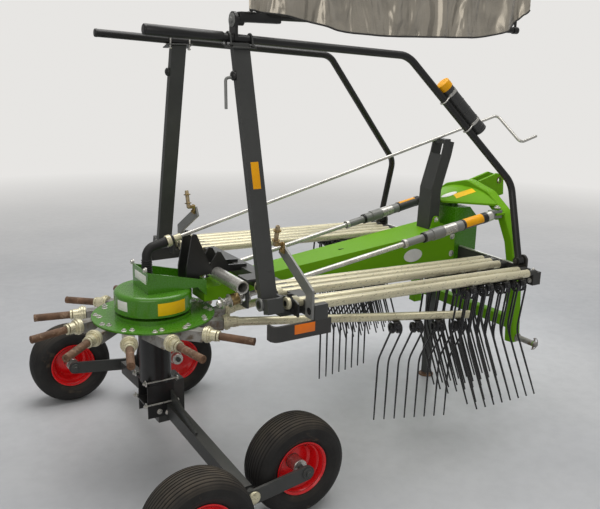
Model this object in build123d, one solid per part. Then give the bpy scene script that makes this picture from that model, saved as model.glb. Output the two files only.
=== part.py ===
from build123d import *
from math import atan2, cos, degrees, hypot, pi, radians, sin
import os

# Single rotor hay rake, parked on its four wheels and its stand, guards folded up.
# Millimetres. X points forward to the headstock, Y to the left, Z up, ground at Z = 0.
# Places along X are measured from the rotor axis, and every piece is moved by ROTOR_X
# at the end, so that the origin is the middle of the machine's footprint.
ROTOR_X = -816.0

# Running gear
TYRE_OD = 410.0
TYRE_WIDTH = 165.0
RIM_SEAT_D = 204.0
RIM_FLANGE_D = 228.0
RIM_WIDTH = 134.0
HUB_D = 62.0
HUB_LENGTH = 104.0
AXLE_D = 25.0
RUN_GAP = 0.05
REAR_WHEEL = (-170.0, 836.0)
FRONT_WHEEL = (344.0, 637.0)
TANDEM_Y = 736.5
TANDEM_BAR_WIDTH = 62.0
TANDEM_BAR_T = 12.0
TANDEM_PIVOT_X = 104.0
TANDEM_PIVOT_Z = 172.0
TANDEM_PIVOT_D = 36.0
AXLE_TUBE_W = 50.0
AXLE_TUBE_H = 64.0
AXLE_ARM_END_Y = 700.0
AXLE_HUB_X = 50.0
AXLE_HUB_Z = 262.0
GUSSET_T = 10.0
GUSSET_START = 52.0
GUSSET_REACH = 330.0
GUSSET_H = 96.0
CLAMP_BOX = (124.0, 112.0, 190.0)
CLAMP_BOX_BOTTOM = 205.0
COLUMN_D = 140.0
COLUMN_RING_D = 172.0
COLUMN_RING_T = 22.0

# Rotor
DISC_D = 530.0
DISC_TOP = 708.0
DISC_T = 7.0
DISC_DISH_D = 330.0
DISC_DISH_RISE = 15.0
ARM_COUNT = 12
ARM_PHASE = -17.0
ARM_OFFSET = 116.0
ARM_ROOT_Z = 695.0
ARM_SLOPE = 0.037
DRUM_D = 268.0
DRUM_H = 46.0
CASTING_W = 50.0
CASTING_H = 46.0
CASTING_START = 118.0
CASTING_END = 286.0
COLLAR_D = 62.0
COLLAR_LENGTH = 31.0
SLEEVE_D = 48.0
SLEEVE_LENGTH = 26.0
STUB_D = 32.0
STUB_END = 505.0
ARM_TUBE_D = 38.0
ARM_TUBE_END = 1465.0

# Tines: spring tines with two coils and two prongs each
TINE_WIRE_D = 9.5
TINE_COIL_D = 52.0
TINE_COIL_LENGTH = 25.0
COIL_SIDES = 10
TINE_COIL_GAP = 13.0
TINE_COIL_DROP = 56.0
TINE_UPPER = 225.0
TINE_LOWER = 310.0
TINE_BEND = 35.0
TINE_SPREAD = 53.5
TINE_PITCH = 107.0
TINES_PER_ARM = 4
TINE_LAST = 1412.0
TINE_CLIP_W = 34.0
TINE_LEAN_FITTED = 33.0
TINE_LEAN_STORED = 6.0
SEAT_GAP = 0.3

# Gearbox cover and the open bracket above it
COVER_D = 334.0
COVER_BOTTOM = 736.0
COVER_SIDE_H = 88.0
COVER_EDGE_R = 18.0
BRACKET_REAR_X = -56.0
BRACKET_FRONT_X = 212.0
BRACKET_W = 186.0
BRACKET_REAR_H = 92.0
BRACKET_FRONT_H = 26.0
BRACKET_WALL = 8.0
BOSS_D = 22.0

# Main beam and swivel head
BEAM_REAR_X = 212.3
BEAM_FRONT_X = 1640.0
BEAM_TOP_SLOPE = 0.105
BEAM_TOP_AT_ROTOR = 780.0
BEAM_BOTTOM = 744.0
BEAM_REAR_W = 132.0
BEAM_FRONT_W = 236.0
HEAD_BOX = (165.0, 214.0)
HEAD_BOX_BOTTOM = 690.0
HEAD_BOX_TOP = 1052.0
HEAD_CHAMFER = 60.0
SWIVEL_X = 1722.0
SWIVEL_PIN_D = 50.0
PTO_D = 34.9
PTO_Z = 735.0
PTO_LENGTH = 92.0
PTO_COLLAR_D = 96.0
PTO_COLLAR_LENGTH = 34.0

# Crank and its post
CRANK_D = 16.0
CRANK_START = (96.0, 0.0, 1028.0)
CRANK_END = (2000.0, 0.0, 1521.0)
CRANK_BEND = (2036.0, -151.0, 1386.0)
CRANK_HANDLE = (2152.0, -151.0, 1417.0)
CRANK_CORNER_R = 26.0
BOOT_D = 40.0
BOOT_X = -24.0
BOOT_CORNER_Z = 997.0
BOOT_BEND_R = 44.0
BOOT_COLLAR_D = 46.0
POST_FOOT_X = 1545.0
POST_TOP_X = 1622.0
POST_TOP_Z = 1398.0
POST_KNEE_Z = (1150.0, 1330.0)
POST_W = 66.0
POST_T = 8.0
POST_GAP = 78.0

# Cross tube, front cross plates and racks
CROSS_X = 433.0
CROSS_Z = 845.0
CROSS_SIZE = 60.0
CROSS_HALF = 676.0
ROD_NOTCH_HALF = 30.0
ROD_NOTCH_TOP = 846.0
FRONT_CROSS_X = 1680.0
FRONT_CROSS_T = 12.0
FRONT_CROSS_TOP = 845.0
FRONT_CROSS_DEPTH = (104.0, 56.0)
FRONT_CROSS_HALF = 640.0
END_BLOCK = (52.0, 62.0)
RACK_TUBE_REAR = 330.0
RACK_TUBE_FRONT = 1630.0
RACK_REAR_Z = 865.6
RACK_FRONT_Z = 830.0
# side (-1 right, 1 left), distance from the middle, place of the foremost tine
RACKED_ARMS = (
    (-1, 335.0, 1588.0),
    (-1, 390.0, 1578.0),
    (-1, 445.0, 1578.0),
    (-1, 572.0, 1578.0),
    (-1, 632.0, 1578.0),
    (1, 380.0, 1568.0),
    (1, 440.0, 1568.0),
    (1, 500.0, 1568.0),
    (1, 560.0, 1568.0),
    (1, 620.0, 1568.0),
)
PEG_D = 28.0
GUARD_FOOT_X = (306.0, 318.0)
GUARD_FOOT_HALF = 28.0
GUARD_FOOT_DROP = 20.0
PIVOT_TUBE_X = 283.0
PIVOT_TUBE_D = 58.0
PIVOT_TUBE_HALF = 300.0
PIVOT_TUBE_Z = 862.0
PIVOT_TUBE_WALL = 7.0
LINK_Y = 45.0
LINK_T = 10.0
LINK_REAR_X = (137.0, 170.0)
LINK_HEEL_Z = 892.0
LINK_APEX = (200.0, 1051.0)
LINK_NOSE = (317.0, 949.0)
RACK_BAR_W = 50.0
RACK_BAR_T = 10.0
RACK_BAR_INSET = 6.0
RACK_BAR_REACH = 227.0
RACK_BAR_KNEE = (CROSS_HALF - RACK_BAR_W / 2 - RACK_BAR_INSET, 919.0)
RACK_BAR_TOP = (RACK_BAR_KNEE[0] - RACK_BAR_REACH, 1049.0)
RACK_BAR_FOOT_Z = 817.0
BUMPER_H = 62.0
BUMPER_T = 10.0
BUMPER_Y = CROSS_HALF - BUMPER_T / 2
BUMPER_X = (218.0, 480.0)
BUMPER_HOOK = 46.0
LATCH_LOW = (RACK_BAR_TOP[0] + 18.0, RACK_BAR_TOP[1] + 20.0)
LATCH_HIGH = (LATCH_LOW[0] + 22.0, LATCH_LOW[1] + 82.0)
LATCH_TUBE_D = 20.0
LATCH_WASHER_D = 34.0
LATCH_WASHER_T = 6.2
LATCH_WASHERS = (18.6, 62.0)

# Folding guards
GUARD_AXIS_Y = CROSS_HALF - 127.5
GUARD_AXIS_Z = 869.0
GUARD_LEAN = 14.0
GUARD_TUBE_D = 34.0
GUARD_REAR_X = -112.0
GUARD_TOP_S = 1025.0
GUARD_TOP_SLOPE = 0.057
GUARD_BEND_X = 1094.0
GUARD_LOW_X = 1656.0
GUARD_LOW_S = 378.0
GUARD_BEND_R = 110.0
POST_X = 266.0
POST_DEPTH = 30.0
POST_WIDTH = 70.0
GUARD_PIVOT_D = 46.0
GUARD_PIN_D = 24.0
GUARD_STUD_D = 20.0

# Struts between the swivel headstock and the rotor frame
STRUT_REAR = (335.0, 204.0, 790.0)
STRUT_FRONT = (1776.0, 270.0, 1040.0)
STRUT_PLATE_T = 10.0
STRUT_PLATE_HALF = 44.0
STRUT_ROD_D = 24.0
STRUT_SLEEVE_D = 32.0
STRUT_CYL_D = 52.0
STRUT_SLEEVE_START = 600.0
STRUT_CYL_START = 470.0
STRUT_ROD_END = 130.0
STRUT_TAIL = 104.0
STRUT_BUSH_D = 46.0
STRUT_WASHER_D = 60.0
STRUT_HOLE_CLEAR = 16.0
STRUT_PIN_D = 20.0

# Headstock
ARCH_X = 1838.0
ARCH_W = 58.0
ARCH_T = 56.0
ARCH_CROWN_Z = 1150.0
ARCH_LEG = (
    (0.0, ARCH_CROWN_Z),
    (150.0, 1120.0),
    (262.0, 1035.0),
    (330.0, 905.0),
    (366.0, 760.0),
    (382.0, 560.0),
    (396.0, 372.0),
)
LINK_PIN_D = 28.6
LINK_PIN_X = 1846.0
LINK_PIN_Z = 398.0
LINK_PIN_END = 548.0
LINK_COLLAR_D = 44.0
LINK_COLLAR_Y = 427.0
EAR_GAP = 52.0
EAR_T = 14.0
EAR_ROOT_Z = (1126.0, 1172.0)
EAR_CREST = (2000.0, 1207.0)
EAR_TIP = (2048.0, 1192.0)
EAR_CHIN = (2058.0, 1086.0)
EAR_THROAT = (2022.0, 1080.0)
PLATE_REAR = (1612.0, 26.0)
PLATE_FRONT_HALF = 236.0
TOP_LINK_X = 2016.0
TOP_LINK_Z = 1168.0
TOP_LINK_BORE_D = 25.7
CROSS_LINK_Z = 470.0
CROSS_LINK_SIZE = 60.0
CROSS_LINK_HALF = 384.0

# Parking stand
STAND_X = 1728.0
STAND_SIZE = 40.0
STAND_WALL = 6.0
STAND_SLEEVE = (560.0, 800.0)
STAND_GAP = 0.1
STAND_TOP = 690.0
STAND_FOOT_D = 84.0
STAND_FOOT_T = 8.0

# Swath curtain and what else rides on the right guard
CURTAIN_INSET = 253.5
CURTAIN_AXIS = (CURTAIN_INSET - GUARD_AXIS_Y, 1932.0)
CURTAIN_LOBE_X = 240.0
CURTAIN_LOBE_D = 64.0
CURTAIN_LOBE_T = 12.0
CURTAIN_PIN_END_X = 300.0
CURTAIN_EYE_D = 40.0
CURTAIN_EYE_LENGTH = 26.0
CURTAIN_ARM_END_X = 1780.0
CURTAIN_OUTLINE = (
    (285.0, 2010.0),
    (720.0, 1912.0),
    (960.0, 1902.0),
    (1480.0, 1910.0),
    (1690.0, 1960.0),
    (1812.0, 2080.0),
    (1830.0, 2330.0),
    (285.0, 2330.0),
)
CURTAIN_T = 8.0
CURTAIN_BAR_D = 26.0
CURTAIN_PIN_D = 16.0
CURTAIN_BAR_Z = 1950.0
TUBE_BOX_D = 62.0
TUBE_BOX_ALONG = (214.0, 514.0)


def box(x, y, z):
    """A block between two places on each axis."""
    middle = [(a + b) / 2 for a, b in (x, y, z)]
    return Pos(*middle) * Box(*(abs(b - a) for a, b in (x, y, z)))


def rod(start, end, diameter):
    """A round bar between two points."""
    start, end = Vector(*start), Vector(*end)
    place = Plane(origin=start, z_dir=end - start)
    return place * Cylinder(
        diameter / 2, (end - start).length, align=(Align.CENTER, Align.CENTER, Align.MIN)
    )


def beam(start, end, width, height, across=(0, 1, 0)):
    """A square-cornered bar between two points, its width along the across direction."""
    start, end = Vector(*start), Vector(*end)
    place = Plane(origin=start, x_dir=Vector(*across), z_dir=end - start)
    return extrude(place * Rectangle(width, height), (end - start).length)


def prong(start, end, diameter):
    """A wire with six flats between two points."""
    start, end = Vector(*start), Vector(*end)
    place = Plane(origin=start, z_dir=end - start)
    return extrude(place * RegularPolygon(diameter / 2, 6), (end - start).length)


def pipe(points, diameter, bend):
    """A round bar along a path with rounded corners."""
    path = FilletPolyline(*points, radius=bend)
    return sweep(Plane(origin=path @ 0, z_dir=path % 0) * Circle(diameter / 2), path)


def cross_plate(points, x, thick):
    """A plate that stands across the machine, drawn in Y and Z."""
    return extrude(Plane.YZ.offset(x) * make_face(Polyline(*points, close=True)), thick)


def side_plate(points, y, thick):
    """A plate that stands along the machine, drawn in X and Z, from y to the left."""
    place = Plane(origin=(0, y + thick, 0), x_dir=(1, 0, 0), z_dir=(0, -1, 0))
    return extrude(place * make_face(Polyline(*points, close=True)), thick)


def flat_plate(points, z, thick):
    """A level plate, drawn in X and Y."""
    return extrude(Plane.XY.offset(z) * make_face(Polyline(*points, close=True)), thick)


def band(points, width):
    """The outline of a bar of one width along a bent centre line."""
    left, right = [], []
    for i, point in enumerate(points):
        before = Vector(*points[max(i - 1, 0)])
        here = Vector(*point)
        after = Vector(*points[min(i + 1, len(points) - 1)])
        first = (here - before) if i else (after - here)
        last = (after - here) if i < len(points) - 1 else first
        first, last = first.normalized(), last.normalized()
        middle = (first + last).normalized()
        reach = width / 2 / middle.dot(first)
        normal = Vector(-middle.Y, middle.X) * reach
        left.append((here.X + normal.X, here.Y + normal.Y))
        right.append((here.X - normal.X, here.Y - normal.Y))
    return left + right[::-1]


def joined(*solids):
    """One solid of touching pieces."""
    whole = solids[0]
    for solid in solids[1:]:
        whole = whole + solid
    return whole


def other_side(solid):
    """The same piece on the left of the machine."""
    return mirror(solid, about=Plane.XZ)


def save(name, solids):
    """Move a node's solids into the shared frame and write them."""
    moved = [Pos(ROTOR_X, 0, 0) * solid for solid in solids]
    export_step(Compound(children=moved), f"parts/{name}.step")


os.makedirs("parts", exist_ok=True)


# Wheels, built about the Y axis at the origin
def ring(outer, inner, width):
    """A ring about the Y axis, its width centred on the origin."""
    return Rot(90, 0, 0) * (Cylinder(outer / 2, width) - Cylinder(inner / 2, 2 * width))


TYRE_HALF = TYRE_WIDTH / 2
TYRE_PROFILE = (
    (RIM_SEAT_D / 2 + 0.3, RIM_WIDTH / 2 - 5),
    (118.0, RIM_WIDTH / 2 - 5),
    (135.0, TYRE_HALF - 4),
    (156.0, TYRE_HALF),
    (180.0, TYRE_HALF - 5),
    (195.0, TYRE_HALF - 18),
    (TYRE_OD / 2, TYRE_HALF - 40),
)


def tyre():
    """The tyre, turned from one profile."""
    half = [(r, w) for r, w in TYRE_PROFILE]
    outline = half + [(r, -w) for r, w in reversed(half)]
    face = make_face(Polyline(*[(r, w) for r, w in outline], close=True))
    return revolve(Plane.XY * face, Axis.Y)


def rim(outward):
    """The rim with its dish and hub; outward is the side its valve and bolts face."""
    shell = ring(RIM_SEAT_D, RIM_SEAT_D - 12, RIM_WIDTH)
    for side in (-1, 1):
        flange = Pos(0, side * (RIM_WIDTH / 2 - 2), 0) * ring(RIM_FLANGE_D, RIM_SEAT_D - 12, 4)
        shell = shell + flange
    dish = Pos(0, outward * 22, 0) * ring(RIM_SEAT_D - 10, AXLE_D + 2 * RUN_GAP, 6)
    hub = ring(HUB_D, AXLE_D + 2 * RUN_GAP, HUB_LENGTH)
    return joined(shell, dish, hub)


# name, place along X, side (-1 right, 1 left), distance from the middle, way the dish faces
WHEELS = (
    ("rear_right", REAR_WHEEL[0], -1, REAR_WHEEL[1], -1),
    ("rear_left", REAR_WHEEL[0], 1, REAR_WHEEL[1], 1),
    ("front_right", FRONT_WHEEL[0], -1, FRONT_WHEEL[1], 1),
    ("front_left", FRONT_WHEEL[0], 1, FRONT_WHEEL[1], -1),
)
for name, x, side, out, faces in WHEELS:
    place = Pos(x, side * out, TYRE_OD / 2)
    save(f"tyre_{name}", [place * tyre()])
    save(f"rim_{name}", [place * rim(faces)])


# Tandem bars with their wheel axles, on a pivot at each end of the axle beam
def tandem_bar():
    """The right-hand bar."""
    line = (
        (REAR_WHEEL[0], TYRE_OD / 2),
        (TANDEM_PIVOT_X, TANDEM_PIVOT_Z),
        (FRONT_WHEEL[0], TYRE_OD / 2),
    )
    inner = -TANDEM_Y - TANDEM_BAR_T / 2
    bar = side_plate(band(line, TANDEM_BAR_WIDTH), inner, TANDEM_BAR_T)
    for x, z in (line[0], line[2]):
        bar = bar + Pos(x, -TANDEM_Y, z) * ring(TANDEM_BAR_WIDTH, AXLE_D, TANDEM_BAR_T)
    pivot = (TANDEM_PIVOT_X, -TANDEM_Y, TANDEM_PIVOT_Z)
    bar = bar - rod(
        (pivot[0], pivot[1] - 30, pivot[2]),
        (pivot[0], pivot[1] + 30, pivot[2]),
        TANDEM_PIVOT_D + 2 * SEAT_GAP,
    )
    for (x, out), way in ((REAR_WHEEL, -1), (FRONT_WHEEL, 1)):
        end = -out + way * (HUB_LENGTH / 2 + 12)
        bar = bar + rod((x, -TANDEM_Y, TYRE_OD / 2), (x, end, TYRE_OD / 2), AXLE_D)
    return bar


right_bar = tandem_bar()
save("tandem_bars", [right_bar, other_side(right_bar)])


def axle_side():
    """The right-hand half of the axle beam, out to the tandem pivot."""
    reach = TANDEM_Y - TANDEM_BAR_T / 2 - SEAT_GAP
    arm = beam(
        (AXLE_HUB_X, -40, AXLE_HUB_Z),
        (TANDEM_PIVOT_X - 14, -AXLE_ARM_END_Y, TANDEM_PIVOT_Z),
        AXLE_TUBE_W,
        AXLE_TUBE_H,
        across=(1, 0, 0),
    )
    boss = rod(
        (TANDEM_PIVOT_X, -AXLE_ARM_END_Y + 60, TANDEM_PIVOT_Z),
        (TANDEM_PIVOT_X, -reach, TANDEM_PIVOT_Z),
        TANDEM_PIVOT_D + 10,
    )
    pin = rod(
        (TANDEM_PIVOT_X, -reach + 5, TANDEM_PIVOT_Z),
        (TANDEM_PIVOT_X, -TANDEM_Y - 12, TANDEM_PIVOT_Z),
        TANDEM_PIVOT_D,
    )
    gusset = cross_plate(
        (
            (-GUSSET_START, AXLE_HUB_Z),
            (-GUSSET_START, AXLE_HUB_Z + GUSSET_H),
            (-GUSSET_REACH, AXLE_HUB_Z + 6),
            (-GUSSET_REACH, AXLE_HUB_Z - 40),
        ),
        AXLE_HUB_X - GUSSET_T / 2,
        GUSSET_T,
    )
    return joined(arm, boss, pin, gusset)


length, width, height = CLAMP_BOX
clamp = box(
    (AXLE_HUB_X - length / 2, AXLE_HUB_X + length / 2),
    (-width / 2, width / 2),
    (CLAMP_BOX_BOTTOM, CLAMP_BOX_BOTTOM + height),
)
half = axle_side()
save("axle_beam", [joined(clamp, half, other_side(half))])

column = rod((0, 0, CLAMP_BOX_BOTTOM + height + SEAT_GAP), (0, 0, COVER_BOTTOM - SEAT_GAP), COLUMN_D)
ring_top = DISC_TOP - DISC_T - DRUM_H - RUN_GAP
column_ring = rod((0, 0, ring_top - COLUMN_RING_T), (0, 0, ring_top), COLUMN_RING_D)
save("support_column", [joined(column, column_ring)])


# Rotor: the disc with its drum, twelve arm bearings, collars and stubs
def arm_frame(i):
    """The place and heading of arm i: its own X runs out along the arm, its Y to the left."""
    angle = ARM_PHASE + i * 360 / ARM_COUNT
    droop = Rot(0, degrees(atan2(ARM_SLOPE, 1)), 0)
    return Rot(0, 0, angle) * Pos(0, -ARM_OFFSET, ARM_ROOT_Z) * droop


def along(start, end, diameter):
    """A round bar along the X axis."""
    return rod((start, 0, 0), (end, 0, 0), diameter)


disc = rod((0, 0, DISC_TOP - DISC_T), (0, 0, DISC_TOP), DISC_D)
dish = rod((0, 0, DISC_TOP - DISC_T), (0, 0, DISC_TOP + DISC_DISH_RISE), DISC_DISH_D)
drum = rod((0, 0, DISC_TOP - DISC_T - DRUM_H), (0, 0, DISC_TOP), DRUM_D)
well = rod((0, 0, DISC_TOP - 2 * DRUM_H), (0, 0, DISC_TOP + DRUM_H), COLUMN_D + 2 * RUN_GAP)
save("rotor_disc", [joined(disc, dish, drum) - well])

castings, collars, stubs = [], [], []
casting_top = DISC_TOP - DISC_T - SEAT_GAP
sleeve_end = CASTING_END + COLLAR_LENGTH + SLEEVE_LENGTH
for i in range(ARM_COUNT):
    angle = ARM_PHASE + i * 360 / ARM_COUNT
    block = box(
        (CASTING_START, CASTING_END),
        (-ARM_OFFSET - CASTING_W / 2, -ARM_OFFSET + CASTING_W / 2),
        (casting_top - CASTING_H, casting_top),
    )
    castings.append(Rot(0, 0, angle) * block)
    at_arm = arm_frame(i)
    collar = along(CASTING_END + 2, CASTING_END + COLLAR_LENGTH, COLLAR_D)
    sleeve = along(CASTING_END + 2, sleeve_end, SLEEVE_D)
    collars.append(at_arm * joined(collar, sleeve))
    stubs.append(at_arm * along(sleeve_end + SEAT_GAP, STUB_END, STUB_D))
save("arm_bearings", castings)
save("arm_collars", collars)
save("arm_stubs", stubs)


def tine(lean):
    """A spring tine under a tube that runs along X; lean is the upper prong's, towards Y."""
    up = radians(lean)
    low = radians(lean - TINE_BEND)
    reach = TINE_COIL_GAP / 2 + TINE_COIL_LENGTH
    coil_radius = TINE_COIL_D / 2
    pieces = []
    clip = box(
        (-TINE_CLIP_W / 2, TINE_CLIP_W / 2),
        (-TINE_CLIP_W / 2, TINE_CLIP_W / 2),
        (-TINE_COIL_DROP, -ARM_TUBE_D / 2 - SEAT_GAP),
    )
    core = Pos(0, 0, -TINE_COIL_DROP) * Rot(0, 90, 0)
    for side in (-1, 1):
        inner, outer = side * TINE_COIL_GAP / 2, side * reach
        coil_face = Plane.XY.offset(min(inner, outer)) * RegularPolygon(coil_radius, COIL_SIDES)
        pieces.append(core * extrude(coil_face, TINE_COIL_LENGTH))
        x = side * TINE_SPREAD / 2
        wire = coil_radius - TINE_WIRE_D / 2
        start = (x, -wire * cos(up), -TINE_COIL_DROP - wire * sin(up))
        knee = (x, start[1] + TINE_UPPER * sin(up), start[2] - TINE_UPPER * cos(up))
        tip = (x, knee[1] + TINE_LOWER * sin(low), knee[2] - TINE_LOWER * cos(low))
        pieces.append(prong(start, knee, TINE_WIRE_D))
        pieces.append(prong(knee, tip, TINE_WIRE_D))
        pieces.append(Pos(*knee) * Sphere(TINE_WIRE_D / 2))
    return joined(joined(*pieces[:1], clip), *pieces[1:])


tine_places = [TINE_LAST - k * TINE_PITCH for k in range(TINES_PER_ARM)]
fitted_tine = tine(TINE_LEAN_FITTED)
fitted_arms, fitted_tines = [], []
for i in (0, 1):
    at_arm = arm_frame(i)
    arm_tube = along(sleeve_end + SEAT_GAP, ARM_TUBE_END, ARM_TUBE_D)
    arm_tube = arm_tube - along(0, STUB_END + SEAT_GAP, STUB_D + 2 * SEAT_GAP)
    fitted_arms.append(at_arm * arm_tube)
    fitted_tines += [at_arm * Pos(x, 0, 0) * fitted_tine for x in tine_places]
save("fitted_arms", fitted_arms)
save("rotor_tines", fitted_tines)

# Gearbox cover and the open bracket above it
cover = rod((0, 0, COVER_BOTTOM), (0, 0, COVER_BOTTOM + COVER_SIDE_H), COVER_D)
cover = fillet(cover.faces().sort_by(Axis.Z)[-1].edges(), COVER_EDGE_R)
save("gearbox_cover", [cover])

bracket_low = COVER_BOTTOM + COVER_SIDE_H + SEAT_GAP
bracket_side = (
    (BRACKET_REAR_X, bracket_low),
    (COVER_D / 2 + 4, bracket_low),
    (BRACKET_FRONT_X, bracket_low - 44),
    (BRACKET_FRONT_X, bracket_low + BRACKET_FRONT_H),
    (BRACKET_REAR_X, bracket_low + BRACKET_REAR_H),
)
outer = side_plate(bracket_side, -BRACKET_W / 2, BRACKET_W)
inner = box(
    (BRACKET_REAR_X + BRACKET_WALL, BRACKET_FRONT_X - BRACKET_WALL),
    (-BRACKET_W / 2 + BRACKET_WALL, BRACKET_W / 2 - BRACKET_WALL),
    (bracket_low + BRACKET_WALL, bracket_low + 2 * BRACKET_REAR_H),
)
bracket = outer - inner
for side in (-1, 1):
    boss_y = side * (BRACKET_W / 2 + 6)
    bracket = bracket + rod(
        (BRACKET_REAR_X + 16, side * (BRACKET_W / 2 - BRACKET_WALL), bracket_low + 68),
        (BRACKET_REAR_X + 16, boss_y, bracket_low + 68),
        BOSS_D,
    )
save("gearbox_bracket", [bracket])

# Main beam: a tapered box girder from the bracket to the swivel head
def beam_top(x):
    """Height of the beam's top face."""
    return BEAM_TOP_AT_ROTOR + BEAM_TOP_SLOPE * x


def beam_half(x):
    """Half of the beam's width."""
    share = (x - BEAM_REAR_X) / (BEAM_FRONT_X - BEAM_REAR_X)
    return (BEAM_REAR_W + share * (BEAM_FRONT_W - BEAM_REAR_W)) / 2


profile = (
    (BEAM_REAR_X, BEAM_BOTTOM),
    (BEAM_FRONT_X, BEAM_BOTTOM + 14),
    (BEAM_FRONT_X, beam_top(BEAM_FRONT_X)),
    (BEAM_REAR_X, beam_top(BEAM_REAR_X)),
)
plan = (
    (BEAM_REAR_X, -BEAM_REAR_W / 2),
    (BEAM_FRONT_X, -BEAM_FRONT_W / 2),
    (BEAM_FRONT_X, BEAM_FRONT_W / 2),
    (BEAM_REAR_X, BEAM_REAR_W / 2),
)
girder = side_plate(profile, -BEAM_FRONT_W, 2 * BEAM_FRONT_W) & flat_plate(plan, 0, 2 * HEAD_BOX_TOP)
save("main_beam", [girder])

# Swivel head: the box at the beam's front with its pin, and the power input
head_rear = BEAM_FRONT_X + SEAT_GAP
head_front = head_rear + HEAD_BOX[0]
head_half = HEAD_BOX[1] / 2
head_side = (
    (head_rear, HEAD_BOX_BOTTOM),
    (head_front, HEAD_BOX_BOTTOM),
    (head_front, HEAD_BOX_TOP - HEAD_CHAMFER),
    (head_front - HEAD_CHAMFER, HEAD_BOX_TOP),
    (head_rear, HEAD_BOX_TOP),
)
head = side_plate(head_side, -head_half, 2 * head_half)
head = head + rod(
    (SWIVEL_X, 0, HEAD_BOX_BOTTOM - 70), (SWIVEL_X, 0, HEAD_BOX_TOP + 46), SWIVEL_PIN_D
)
save("swivel_head", [head])
pto_rear = head_front + SEAT_GAP
pto = joined(
    rod((pto_rear, 0, PTO_Z), (pto_rear + PTO_LENGTH, 0, PTO_Z), PTO_D),
    rod((pto_rear, 0, PTO_Z), (pto_rear + PTO_COLLAR_LENGTH, 0, PTO_Z), PTO_COLLAR_D),
)
save("power_input", [pto])

# Elbow boot, crank rod and the post that carries it
boot_foot = (BOOT_X, 0, bracket_low + BRACKET_WALL + SEAT_GAP)
crank_start, crank_end = Vector(*CRANK_START), Vector(*CRANK_END)
crank_way = (crank_end - crank_start).normalized()
boot_corner = (BOOT_X, 0, BOOT_CORNER_Z)
boot = pipe([boot_foot, boot_corner, CRANK_START], BOOT_D, BOOT_BEND_R)
boot = boot + rod(boot_foot, (BOOT_X, 0, boot_foot[2] + 20), BOOT_COLLAR_D)
boot_way = (crank_start - Vector(*boot_corner)).normalized()
boot = boot + rod(crank_start - boot_way * 20, crank_start, BOOT_COLLAR_D)
save("elbow_boot", [boot])
crank_path = [crank_start + crank_way * 3, crank_end, Vector(*CRANK_BEND), Vector(*CRANK_HANDLE)]
save("crank_rod", [pipe(crank_path, CRANK_D, CRANK_CORNER_R)])


def crank_z(x):
    """Height of the crank rod's axis."""
    return CRANK_START[2] + (x - CRANK_START[0]) * crank_way.Z / crank_way.X


post_line = (
    (POST_FOOT_X, beam_top(POST_FOOT_X) - 10),
    (POST_FOOT_X + 8, POST_KNEE_Z[0]),
    (POST_TOP_X - 14, POST_KNEE_Z[1]),
    (POST_TOP_X, POST_TOP_Z),
)
web_line = tuple((x - (POST_W - POST_T) / 2, z) for x, z in post_line[:3])
rest_x = (POST_TOP_X - 26, POST_TOP_X + 14)
rest_top = crank_z(rest_x[0]) - CRANK_D / 2 - 2 * SEAT_GAP
post = joined(
    side_plate(band(post_line, POST_W), -POST_GAP / 2 - POST_T, POST_T),
    side_plate(band(post_line, POST_W), POST_GAP / 2, POST_T),
    side_plate(band(web_line, POST_T), -POST_GAP / 2, POST_GAP),
    box(rest_x, (-POST_GAP / 2, POST_GAP / 2), (rest_top - 24, rest_top)),
)
under = (
    (POST_FOOT_X - 200, 0.0),
    (POST_FOOT_X + 200, 0.0),
    (POST_FOOT_X + 200, beam_top(POST_FOOT_X + 200) + SEAT_GAP),
    (POST_FOOT_X - 200, beam_top(POST_FOOT_X - 200) + SEAT_GAP),
)
save("crank_post", [post - side_plate(under, -200, 400)])

# Cross tube with the strut plates, the guard studs and the seats of the stored arms' roots
cross_rear = CROSS_X - CROSS_SIZE / 2
cross_front = CROSS_X + CROSS_SIZE / 2
cross_low = CROSS_Z - CROSS_SIZE / 2
cross_top = CROSS_Z + CROSS_SIZE / 2
cross = box((cross_rear, cross_front), (-CROSS_HALF, CROSS_HALF), (cross_low, cross_top))


def rack_z(x):
    """Height of the stored arms' axes, which drop a little towards the front."""
    share = (x - RACK_TUBE_REAR) / (RACK_TUBE_FRONT - RACK_TUBE_REAR)
    return RACK_REAR_Z + share * (RACK_FRONT_Z - RACK_REAR_Z)


def rack_rod(side, y, x_start, x_end, diameter):
    """A round bar along a stored arm's axis."""
    return rod((x_start, side * y, rack_z(x_start)), (x_end, side * y, rack_z(x_end)), diameter)


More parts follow.
